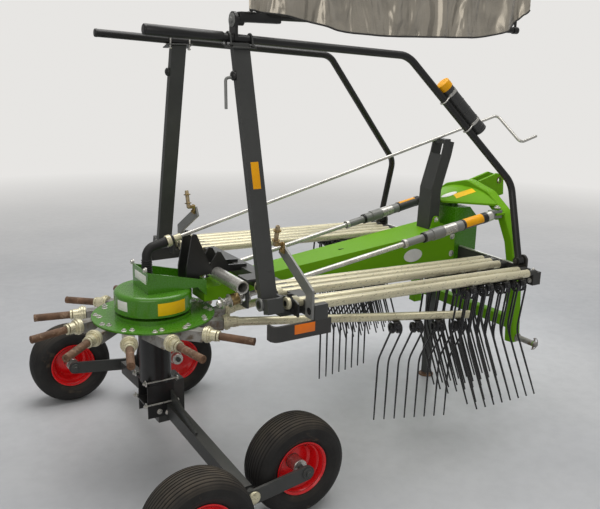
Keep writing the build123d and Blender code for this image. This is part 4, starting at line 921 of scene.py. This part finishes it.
# Guards: places on the leaning plane, as in the part's source
GUARD_AXIS = (548.5, 869)
GUARD_LEAN = 14
GUARD_TOP_S, GUARD_TOP_SLOPE = 1025, 0.057
GUARD_BEND_X, GUARD_LOW_X, GUARD_LOW_S = 1094, 1656, 378
GUARD_TUBE_R = 17
POST_X = 266


def on_guard(x, s, out=0, side=-1):
    """A point of a guard: s up its leaning plane, out square to it."""
    lean = radians(GUARD_LEAN)
    y = GUARD_AXIS[0] - s * sin(lean) + out * cos(lean)
    return Vector((x, side * y, GUARD_AXIS[1] + s * cos(lean) - out * sin(lean)))


def guard_top(x):
    return GUARD_TOP_S - GUARD_TOP_SLOPE * (x - 275)


def u_bolt(shape, middle, way, upward, radius, leg, wire=4):
    """A bent bolt round a bar, its legs ending in nuts on the upward side's far end."""
    way, upward = Vector(way).normalized(), Vector(upward).normalized()
    across = way.cross(upward)
    middle = Vector(middle)
    bend = [middle + (across * cos(a) + upward * sin(a)) * radius for a in (pi * k / 12 for k in range(13))]
    line = [bend[0] - upward * leg] + bend + [bend[-1] - upward * leg]
    shape.tube(line, wire, 10)
    for end in (line[0], line[-1]):
        shape.bolt(end + upward * 7, -upward, 13, 6, washer=False)


def rectangle(half, low, high):
    return [(-half, low), (half, low), (half, high), (-half, high)]


GUARD_WAY = (on_guard(1000, guard_top(1000)) - on_guard(0, guard_top(0))).normalized()
SLEEVE_FROM, SLEEVE_TO, TUBE_END = -108, 196, -112
WIDE_END = ((-4, 12), (-3.4, 17), (-1, 20), (5, 20.9), (6, 19))
THIN_END = ((-4, 12), (-3.4, 15), (-1, 17.4), (8, 17.9), (8.6, 17.2))
KNOB_LINE = ((0, 6), (1, 14), (4, 18), (10, 19), (15, 16), (19, 9), (20, 3))
PIVOT_RING = ((-6, 16), (-7, 18), (-7, 25), (-6, 26.4), (5, 26.4), (5, 16))
PIVOT_DISC = ((-9, 7), (-9, 14), (-8, 16), (4, 16))
X_WAY = (1, 0, 0)
for name, side in (("right", -1), ("left", 1)):
    body = f"guard_{name}"
    way = Vector((GUARD_WAY.x, GUARD_WAY.y * -side, GUARD_WAY.z))
    upward = (on_guard(0, 10, 0, side) - on_guard(0, 0, 0, side)).normalized()
    outward = on_guard(0, 0, 10, side) - on_guard(0, 0, 0, side)
    low, high, end = (on_guard(x, guard_top(x), 0, side) for x in (SLEEVE_FROM, SLEEVE_TO, TUBE_END))
    length = (high - low).length
    sleeve = Shape()
    if side < 0:
        sleeve.hoop(
            [(0, 17.2), (0, 20), (1.5, 21), (length - 1.5, 21), (length, 20), (length, 17.2)], low, way, 32
        )
    sleeve.turned(WIDE_END if side < 0 else THIN_END, end, way, 32)
    sleeve.piece(f"guard_sleeve_{name}", black, body, sharp=40, slot="dark_grey_paint")
    clips = Shape()
    for x in (POST_X - 46, POST_X + 46):
        u_bolt(clips, on_guard(x, guard_top(x), 0, side), way, upward, 21.5, 34)
    clips.piece(f"guard_u_bolts_{name}", dark_grey if side < 0 else zinc, body, sharp=40, slot="pale_steel")
    saddle_place = on_guard(POST_X, guard_top(POST_X) - 26, 0, side)
    saddle = Shape().slab(rectangle(60, -31, 31), saddle_place, X_WAY, outward, 5, 1)
    saddle.piece(f"guard_saddle_{name}", dark_grey, body)
    if side < 0:
        start = on_guard(231, 879, 0, side)
        hook_line = [start, start + Vector((-40, 0, -4)), start + Vector((-50, side * 24, -118))]
        hook = Shape().tube(rounded_path(hook_line, 14, 6), 6, 12)
        hook.piece("guard_hook", grey_bar, body, sharp=40, slot="pale_steel")
    knob = Shape().turned(KNOB_LINE, on_guard(233, 884, 0, side), (-1, 0, 0), 24)
    knob.piece(f"guard_knob_{name}", black, body, sharp=40, slot="dark_grey_paint")
    blank_place = on_guard(POST_X, 505, 15.2, side)
    blank = Shape().slab(rectangle(17, -52, 52), blank_place, X_WAY, upward, 1.6 * -side)
    blank.piece(f"post_blank_{name}", amber, body, slot="dark_grey_paint")
    foot_place = on_guard(POST_X, 0, 20.6, side)
    foot_box = Shape().slab(rectangle(34, -29, 30), foot_place, X_WAY, upward, 41.2 * -side, 1.5)
    foot_box.piece(f"guard_post_foot_{name}", dark_grey, body)
    pivot = (POST_X - 35, side * GUARD_AXIS[0], GUARD_AXIS[1])
    pivot_ring = Shape().hoop(PIVOT_RING, pivot, X_WAY, 32)
    pivot_ring.piece(f"guard_pivot_ring_{name}", grey_bar, body, slot="dark_grey_paint")
    disc = Shape().turned(PIVOT_DISC, pivot, X_WAY, 32)
    disc.piece(f"guard_pivot_disc_{name}", black, body, slot="dark_grey_paint")

# Document tube: amber cap, ribbed far cap and its two clamps
bend_s = guard_top(GUARD_BEND_X)
leg = Vector((GUARD_LOW_X - GUARD_BEND_X, GUARD_LOW_S - bend_s)).normalized()
TUBE_R = 31
TUBE_OFF = GUARD_TUBE_R + TUBE_R + 4
TUBE_ALONG = (214, 514)


def on_leg(along, off, out=0):
    """A point beside the sloping leg of the right guard."""
    x = GUARD_BEND_X + leg.x * along - leg.y * off
    return on_guard(x, bend_s + leg.y * along + leg.x * off, out)


leg_way = (on_leg(100, 0) - on_leg(0, 0)).normalized()
upper, lower = on_leg(TUBE_ALONG[0], TUBE_OFF), on_leg(TUBE_ALONG[1], TUBE_OFF)
NEAR_CAP = ((-5, 20), (-4, 29), (-1, 33.5), (30, 33.5), (32, 31.2))
FAR_CAP = (
    (4, 22), (3, 30), (0, 33), (-8, 33), (-9, 31.6), (-12, 31.6), (-13, 33), (-26, 33), (-27, 31.2),
)
TUBE_RIB = ((-2.5, 31), (-1.5, 32.4), (1.5, 32.4), (2.5, 31))
TUBE_BAND = ((-7, 31.1), (-7, 32.8), (7, 32.8), (7, 31.1))
tube_cap = Shape().turned(NEAR_CAP, upper, leg_way, 40)
tube_cap.piece("document_tube_cap", amber, "guard_right", sharp=40, slot="black_plastic")
tube_end = Shape().turned(FAR_CAP, lower, leg_way, 40)
for k in range(4):
    tube_end.hoop(TUBE_RIB, upper + leg_way * (70 + k * 52), leg_way, 40)
tube_end.piece("document_tube_end", plastic, "guard_right", sharp=40)
tube_clips = Shape()
off_way = (on_leg(0, 10) - on_leg(0, 0)).normalized()
for along in (TUBE_ALONG[0] + 60, TUBE_ALONG[0] + 240):
    u_bolt(tube_clips, on_leg(along, 0), leg_way, -off_way, 20.5, 26, 3.6)
    tube_clips.hoop(TUBE_BAND, on_leg(along, TUBE_OFF), leg_way, 40)
tube_clips.piece("document_tube_clamps", zinc, "guard_right", sharp=40)

# Struts: rings, sleeves and a blank on each cylinder, bush and end nut on each rod
STRUT_REAR, STRUT_FRONT = (335, 204, 790), (1776, 270, 1040)
# from, to, inner radius, radius, material and name along the cylinder from the headstock's pin
STRUT_BANDS = (
    (42, 74, 26.05, 27, zinc, "pin_end"),
    (76, 102, 26.05, 27.6, black, "seal"),
    (102, 230, 26.05, 26.4, dark_grey, "barrel"),
    (230, 236, 26.05, 28.4, black, "stop"),
    (279, 355, 26.05, 27.2, zinc, "lock_sleeve"),
    (358, 428, 26.05, 30, grey_bar, "guide"),
    (470, 482, 12.4, 26.2, black, "wiper"),
    (584, 601, 19.1, 22, zinc, "end_ring"),
)
LOCK_PIN = ((0, 7), (1.2, 7.2), (1.6, 6.4), (1, 5.2), (-0.5, 5))
BUSH_LINE = ((0, 23.2), (0, 25.4), (2, 26.4), (34, 26.4), (36, 25.4), (36, 23.2))
PIN_CAP = ((0, 17), (4, 17), (5, 15), (5, 10), (11, 9.6), (12, 8))
for name, side in (("right", -1), ("left", 1)):
    cylinder, strut_rod = f"strut_cylinder_{name}", f"strut_rod_{name}"
    front, rear = (Vector((x, side * y, z)) for x, y, z in (STRUT_FRONT, STRUT_REAR))
    way = (rear - front).normalized()
    for start, end, inner, radius, material, label in STRUT_BANDS:
        long = end - start
        edge = min(1.5, long / 4)
        band = Shape().hoop(
            [(0, inner), (0, radius - edge), (edge, radius), (long - edge, radius), (long, radius - edge),
             (long, inner)],
            front + way * start, way, 40,
        )
        if label == "lock_sleeve":
            out = (way.cross(Vector((0, 0, 1))) * -side).normalized()
            for along in (297, 317, 337):
                for turn_out in (-out, out):
                    band.turned(LOCK_PIN, front + way * along + turn_out * 26.8, turn_out, 18)
        band.piece(f"strut_{label}_{name}", material, cylinder, sharp=40, slot="grey_paint")
    first, last = (-25, 120) if side < 0 else (60, 205)
    wrapped_blank(
        f"strut_blank_{name}", cylinder, amber, front, way, 26.7, 108, 222, first, last, "grey_paint"
    )
    tail = Shape().hoop(BUSH_LINE, rear + way * 25, way, 36)
    tail.piece(f"strut_bush_{name}", bronze, strut_rod, sharp=40, slot="pale_steel")
    Shape().bolt(rear + way * 104, way, 30, 14, stud=5).piece(f"strut_end_nut_{name}", zinc, strut_rod)
    pin = Shape().turned(PIN_CAP, front + Vector((0, 0, 30.2)), (0, 0, 1), 28)
    pin.piece(f"strut_pin_cap_{name}", zinc, "headstock", sharp=40, slot="lime_paint")

# Racks: sockets of the stored arms, comb, blanks, bumpers with a rounded hook
SOCKET_LINE = (
    (-3, 12), (-3, 19), (0, 24.5), (3, 25.5), (50, 25.5), (53, 23), (56, 19.2), (40, 19.2), (-1, 13),
)
# the arms nearer than this to the middle have sockets and seats in the comb
SOCKETED = 600
SOCKET_X, STRAP_X = 332, (340, 358)
sockets, straps = Shape(), Shape()
for side, y, first_x in RACKED_ARMS:
    if y > SOCKETED:
        continue
    start = Vector((SOCKET_X, side * y, rack_z(SOCKET_X)))
    way = Vector((cos(rack_droop), 0, -sin(rack_droop)))
    sockets.turned(SOCKET_LINE, start, way, 32)
    straps.hoop([(12, 25.6), (12, 27.2), (24, 27.2), (24, 25.6)], start, way, 32)
    rear_x, front_x = STRAP_X
    z = rack_z(rear_x)
    straps.block((rear_x, side * y - 5, z + 24), (front_x, side * y + 5, z + 38), 1.5)
    straps.turned([(-2.4, 11.8), (-3.2, 11.5), (-3.4, 2)], start, way, 24)
sockets.piece("stored_arm_sockets", cream, sharp=40)
straps.piece("stored_arm_straps", black, sharp=40, slot="dark_grey_paint")

comb, comb_edge = Shape(), Shape()
COMB_X, COMB_LOW, COMB_HIGH = 352.4, 822, 884
SEAT_R, SEAT_SHOULDER = 23, 27.5
for side in (-1, 1):
    seats = sorted(y for s, y, _ in RACKED_ARMS if s == side and y < SOCKETED)
    wave = []
    for y in seats:
        wave.append((y - SEAT_SHOULDER, COMB_HIGH))
        for k in range(13):
            a = pi + pi * k / 12
            wave.append((y + SEAT_R * cos(a), rack_z(COMB_X) + SEAT_R * sin(a)))
    wave += [(seats[-1] + SEAT_SHOULDER, COMB_HIGH), (min(seats[-1] + 60, 655), COMB_HIGH - 10)]
    for (y0, z0), (y1, z1) in zip(wave, wave[1:]):
        z0, z1 = max(z0, COMB_LOW + 4), max(z1, COMB_LOW + 4)
        if y1 - y0 > 0.01:
            panel = [(side * y0, COMB_LOW), (side * y1, COMB_LOW), (side * y1, z1), (side * y0, z0)]
            comb.slab(panel, (COMB_X, 0, 0), (0, 1, 0), (0, 0, 1), 6)
    edge_line = [Vector((COMB_X + 3, side * y, max(z, COMB_LOW + 4))) for y, z in wave]
    comb_edge.tube(edge_line, 3.4, 8)
comb.piece("rack_comb", black, slot="dark_grey_paint")
comb_edge.piece("rack_comb_edge", grey_bar, sharp=50, slot="dark_grey_paint")

BUMPER_TOP, BUMPER_DEPTH = 814.7, 62
bumpers = Shape()
for side in (-1, 1):
    run = rounded_path([(480, -671, 0), (223, -671, 0), (223, -627, 0)], 24, 8)
    inner, outer = [], []
    for i, p in enumerate(run):
        before, after = run[max(i - 1, 0)], run[min(i + 1, len(run) - 1)]
        way = (after - before).normalized()
        normal = Vector((-way.y, way.x, 0))
        inner.append(p + normal * 5)
        outer.append(p - normal * 5)
    loop = outer + list(reversed(inner))
    outline = [(p.x, p.y) for p in loop] if side < 0 else [(p.x, -p.y) for p in reversed(loop)]
    bumpers.slab(outline, (0, 0, BUMPER_TOP - BUMPER_DEPTH), (1, 0, 0), (0, 1, 0), BUMPER_DEPTH, 1.2)
bumpers.piece("bumper_plates", bumper_black, sharp=40, replaces=("side_bumpers",), slot="dark_grey_paint")
BUMPER_FACE = 676.2
# The rack bars' holes are near black discs: painted shade in place of the holes' depth
HOLE_LINE = ((0, 15), (0.5, 14.6), (0.8, 13.6), (0.2, 12.6), (0.15, 2))
blanks, holes = Shape(), Shape()
for side in (-1, 1):
    face = side * BUMPER_FACE
    blanks.block((312, face - 1.4, 773), (404, face + 1.4, 811), 0.8)
    holes.turned(HOLE_LINE, (392.6, side * 648, 846), (-1, 0, 0), 28)
blanks.piece("bumper_blanks", orange_blank, slot="dark_grey_paint")
holes.piece("rack_bar_holes", painted_hole_shade, slot="grey_paint")

tan = surface(
    "tan_zinc", (0.42, 0.33, 0.20), 0.42, metal=0.3, shade=0.8, light=1.15, patch_scale=30,
    stain=(0.22, 0.14, 0.08), stain_share=0.25, stain_scale=50, dust=0.05, bump=0.08,
)
LATCH_X, LATCH_LOW, LATCH_HIGH = 358.7, (436, 1069), (458, 1151)
WASHER_LINE = ((0, 9.7), (0, 16.4), (1, 17), (3.6, 17), (4.6, 16.4), (4.6, 9.7))
latch_tubes, latch_plates = Shape(), Shape()
for side in (-1, 1):
    low, high = (Vector((LATCH_X, side * y, z)) for y, z in (LATCH_LOW, LATCH_HIGH))
    way = (high - low).normalized()
    top = (high - low).length
    latch_tubes.turned(
        [(-2, 7), (0, 9.6), (17, 9.6), (27, 9.6), (top - 4, 9.6), (top, 8.4), (top, 5), (top - 8, 4.6)],
        low, way, 28,
    )
    for along in (18.6, 62):
        latch_plates.hoop(WASHER_LINE, low + way * along, way, 28)
    latch_plates.block((354, side * 438 - 10, 1063), (392, side * 438 + 10, 1079), 2)
    latch_plates.block((384.5, side * 444 - 15, 1033), (392.3, side * 444 + 9, 1081), 1.5)
    latch_plates.bolt((384.5, side * 444, 1046), (-1, 0, 0), 13, 7)
latch_tubes.piece("latch_tubes", tan, sharp=40, replaces=("latches",), slot="bronze")
latch_plates.piece("latch_plates", bronze, sharp=40)

# Front cross member: pale strips on its top edges as a painted highlight, half-round blanks and end bolts
edge_highlight_strip, half_round, end_bolts = Shape(), Shape(), Shape()
# The pale zinc strip along each top edge is a painted highlight on the dark grey member
STRIP_END = GUARD_AXIS[0] - 30
strip = [(112, 843.2), (STRIP_END, 837.6), (STRIP_END, 842.4), (112, 848)]
for side in (-1, 1):
    outline = strip if side > 0 else [(-y, z) for y, z in reversed(strip)]
    edge_highlight_strip.slab(outline, (1678.6, 0, 0), (0, 1, 0), (0, 0, 1), 13.6, 0.5)
    bow = [(side * 366 + 46 * cos(pi * k / 14), 838 - 38 * sin(pi * k / 14)) for k in range(15)]
    half_round.slab(bow, (1679.8, 0, 0), (0, 1, 0), (0, 0, 1), -1.2, 0)
    end_bolts.bolt((1684, side * 620, 836), (0, 0, 1), 13, 7, stud=3)
    end_bolts.bolt((1657.8, side * 626, 790), (-1, 0, 0), 13, 7)
edge_highlight_strip.piece("cross_member_edge_highlight", zinc, slot="dark_grey_paint")
half_round.piece("cross_member_blanks", white_blank, slot="dark_grey_paint")
end_bolts.piece("cross_member_bolts", zinc, slot="dark_grey_paint")

# Headstock: smooth arch with its cross link, hood over the swivel plate, blanks, link pins
ARCH_LINE = (
    (396, 372), (382, 560), (366, 760), (330, 905), (262, 1035), (150, 1112),
    (0, 1150),
)
ARCH_X, ARCH_HALF_X, ARCH_HALF_T = 1838, 29, 28
right_leg = [(0, -y, z) for y, z in ARCH_LINE]
left_leg = [(0, y, z) for y, z in reversed(ARCH_LINE[:-1])]
arch_path = rounded_path(right_leg + left_leg, 60, 7)
section = (
    (-1, -0.82), (-0.82, -1), (0.82, -1), (1, -0.82), (1, 0.82), (0.82, 1), (-0.82, 1), (-1, 0.82),
)
arch_points = []
for i, p in enumerate(arch_path):
    way = (arch_path[min(i + 1, len(arch_path) - 1)] - arch_path[max(i - 1, 0)]).normalized()
    normal = Vector((0, -way.z, way.y))
    for a, b in section:
        arch_points.append(Vector((ARCH_X + a * ARCH_HALF_X, p.y, p.z)) + normal * b * ARCH_HALF_T)
arch = Shape()
arch.skin(arch_points, len(arch_path), len(section))
arch.block((1811, -384, 440), (1865, 384, 500), 5)
arch.block((1812, -30, 470), (1864, 30, 660), 3)
arch.block((1756, -42, 640), (1863, 42, 660), 2)
arch.hoop([(0, 26), (0, 42), (20, 42), (20, 26)], (1722, 0, 640), (0, 0, 1), 40)
LINK_PIN_X, LINK_PIN_Z = 1846, 398
pin_x, pin_y, pin_z = STRUT_FRONT
for side in (-1, 1):
    low, high = sorted((side * (pin_y - 22), side * (pin_y + 22)))
    arch.block((pin_x - 20, low, pin_z - 6), (1814, high, pin_z + 6), 2)
    arch.turned([(-30, 9), (-29, 10), (29, 10), (30, 9)], (pin_x, side * pin_y, pin_z), (0, 0, 1), 20)
    for y, profile, sides in (
        (378, [(0, 22), (47, 22), (49, 20), (49, 14.3)], 32),
        (396, [(0, 14.3), (148, 14.3), (152, 12)], 28),
    ):
        arch.turned(profile, (LINK_PIN_X, side * y, LINK_PIN_Z), (0, side, 0), sides)
PLATE_TOP = 1082.2
HOOD_REAR_X, HOOD_FRONT_X = 1613, 1809
HOOD_REAR_HALF, HOOD_SPREAD = 25, 208
HOOD_EDGE, HOOD_RISE = 4, 56
BLANK_LIFT = 1.2


def hood_half(x):
    """Half of the hood's width, as the swivel plate's."""
    return HOOD_REAR_HALF + HOOD_SPREAD * (x - HOOD_REAR_X) / (HOOD_FRONT_X - HOOD_REAR_X)


def hood_z(x, y):
    """Height of the hood, which rises from the swivel plate to the arch."""
    share = (x - HOOD_REAR_X) / (HOOD_FRONT_X - HOOD_REAR_X)
    return PLATE_TOP + (HOOD_EDGE + HOOD_RISE * share) * (1 - min(abs(y) / hood_half(x), 1) ** 2.6)


hood_points = []
HOOD_ROWS, HOOD_COLUMNS = 14, 28
for i in range(HOOD_ROWS + 1):
    x = HOOD_REAR_X + (HOOD_FRONT_X - HOOD_REAR_X) * i / HOOD_ROWS
    for k in range(HOOD_COLUMNS + 1):
        y = hood_half(x) * (2 * k / HOOD_COLUMNS - 1)
        hood_points.append((x, y, hood_z(x, y)))
hood = Shape()
hood.grid(hood_points, HOOD_COLUMNS + 1)
hood.piece("headstock_hood", lime, "headstock", sharp=50)


def hood_blank(name, material, outline, middle, turned_by):
    """A thin blank lying on the hood; outline in its own directions, angle in degrees."""
    a = radians(turned_by)
    rings = []
    for share in (1, 0.66, 0.33):
        for u, v in outline:
            x = middle[0] + (u * cos(a) - v * sin(a)) * share
            y = middle[1] + (u * sin(a) + v * cos(a)) * share
            rings.append((x, y, hood_z(x, y) + BLANK_LIFT))
    count, centre = len(outline), len(rings)
    rings.append((*middle, hood_z(*middle) + BLANK_LIFT))
    faces = []
    for k in range(count):
        m = (k + 1) % count
        faces += [(j + k, j + m, j + count + m, j + count + k) for j in (0, count)]
        faces.append((2 * count + k, 2 * count + m, centre))
    blank = Shape().add(rings, faces)
    blank.piece(name, material, "headstock", sharp=60, slot="lime_paint")


flag = [(-56, -24), (0, -24), (56, -24), (56, 0), (56, 24), (0, 24), (-56, 24), (-56, 0)]
egg = [(46 * cos(2 * pi * k / 32), 22 * sin(2 * pi * k / 32)) for k in range(32)]
hood_blank("hood_blank_yellow", yellow_blank, flag, (1738, -62), -16)
hood_blank("hood_blank_white", white_blank, egg, (1682, -6), -12)
arch.piece("headstock_arch_smooth", lime, "headstock", sharp=40, replaces=("headstock_arch",))
PIN_SLEEVE = (
    (0, 14.35), (0, 14.9), (104, 14.9), (105, 13.4), (108, 13.4), (109, 14.9), (120, 14.9), (124, 12),
    (124, 3),
)
PIN_COLLAR = ((-4, 14.4), (-4, 22.3), (-0.6, 22.3), (0.2, 20.5), (0.2, 14.4))
link = Shape()
for side in (-1, 1):
    root = (LINK_PIN_X, side * 427.4, LINK_PIN_Z)
    clip = (LINK_PIN_X, side * 534, LINK_PIN_Z)
    link.turned(PIN_SLEEVE, root, (0, side, 0), 32).hoop(PIN_COLLAR, root, (0, side, 0), 32)
    link.turned([(-26, 3.8), (-26, 4.6), (30, 4.6), (32, 2)], clip, (0.2, 0, 1), 12)
    link.tube(arc(clip, (0.2, 0, 1), (1, 0, -0.2), 30, -20, 200, 18), 1.8, 8)
link.piece("link_pin_sleeves", casting, "headstock", sharp=40, slot="pale_steel")
ear_bush = Shape()
for side in (-1, 1):
    bush = [(0, 13.2), (0, 18), (2, 18), (2.6, 17), (2.6, 13.2)]
    ear_bush.hoop(bush, (2016, side * 40.2, 1168), (0, side, 0), 32)
ear_bush.piece("ear_bushes", brown, "headstock", sharp=40, slot="lime_paint")

# Beam and swivel head: oval blank, side bolts, parking stand's pin, crank post's pins
beam_blank = Shape()
oval = [(58 * cos(2 * pi * k / 40), 34 * sin(2 * pi * k / 40)) for k in range(40)]
beam_way = Vector((1427.7, 52, 0)).normalized()
for side in (-1, 1):
    spot = (1366, side * 108.3, 828)
    across = (beam_way.x * -side, -beam_way.y, 0)
    beam_blank.slab(oval, spot, across, (0.104, 0, 1), 1.2, 0.3)
beam_blank.piece("beam_blanks", white_blank, slot="lime_paint")
head = Shape()
for side in (-1, 1):
    for z in (905, 812):
        head.bolt((1622, side * 116.2, z), (0, side, 0), 17, 8)
head.turned([(0, 40), (4, 40), (6, 38), (6, 28), (9, 27), (9, 17.6)], (1805.6, 0, 735), (1, 0, 0), 40)
head.piece("swivel_head_bolts", zinc)
# The beam's slots are thin near black blocks on it: painted shade in place of the slots' depth
slots = Shape()
for x in (985, 1540):
    slots.block((x - 17, -13, 780 + 0.105 * x - 1), (x + 17, -4, 780 + 0.105 * x + 1.4), 0.6)
slots.piece("beam_slots", painted_hole_shade, slot="lime_paint")
STAND_X, STAND_Y, STAND_PIN_Z = 1728, 133.4, 770
stand = Shape()
for out in (-1, 1):
    stand.turned([(36.5, 6.5), (37, 8), (44, 8), (46, 6.5)], (STAND_X, STAND_Y, STAND_PIN_Z), (out, 0, 0), 20)
handle = [(44, 0, 0), (58, 0, 0), (58, 34, -12)]
handle = [Vector((STAND_X, STAND_Y, STAND_PIN_Z)) + Vector(p) for p in handle]
stand.tube(rounded_path(handle, 8, 5), 4, 8)
stand.piece("stand_pin", zinc, sharp=40)
foot_place = (STAND_X, STAND_Y, 0)
foot = Shape().turned([(8.2, 18), (11, 27), (13.5, 27), (15, 25), (15, 21)], foot_place, (0, 0, 1), 32)
foot.turned([(1, 42.1), (1, 43.2), (7.4, 43.2), (8.6, 41.6), (8.6, 30)], foot_place, (0, 0, 1), 40)
foot.piece("stand_foot", brown, "stand_leg", sharp=40, slot="dark_grey_paint")
lugs, post_pins = Shape(), Shape()
POST_FOOT = (1556, 942)
for side in (-1, 1):
    base = [(-36, 0), (36, 0)]
    crest = [(20 * cos(a), 46 + 20 * sin(a)) for a in (radians(10 + 16 * k) for k in range(11))]
    lug = base + crest if side < 0 else [(-u, v) for u, v in base + crest]
    lugs.slab(lug, (POST_FOOT[0], side * 47.4, POST_FOOT[1]), (-side, 0, 0), (0, 0, 1), 9, 1)
    post_pins.bolt((POST_FOOT[0], side * 56.6, POST_FOOT[1] + 46), (0, side, 0), 15, 8, stud=3)
lugs.piece("post_lugs", lime)
post_pins.piece("post_pins", zinc)
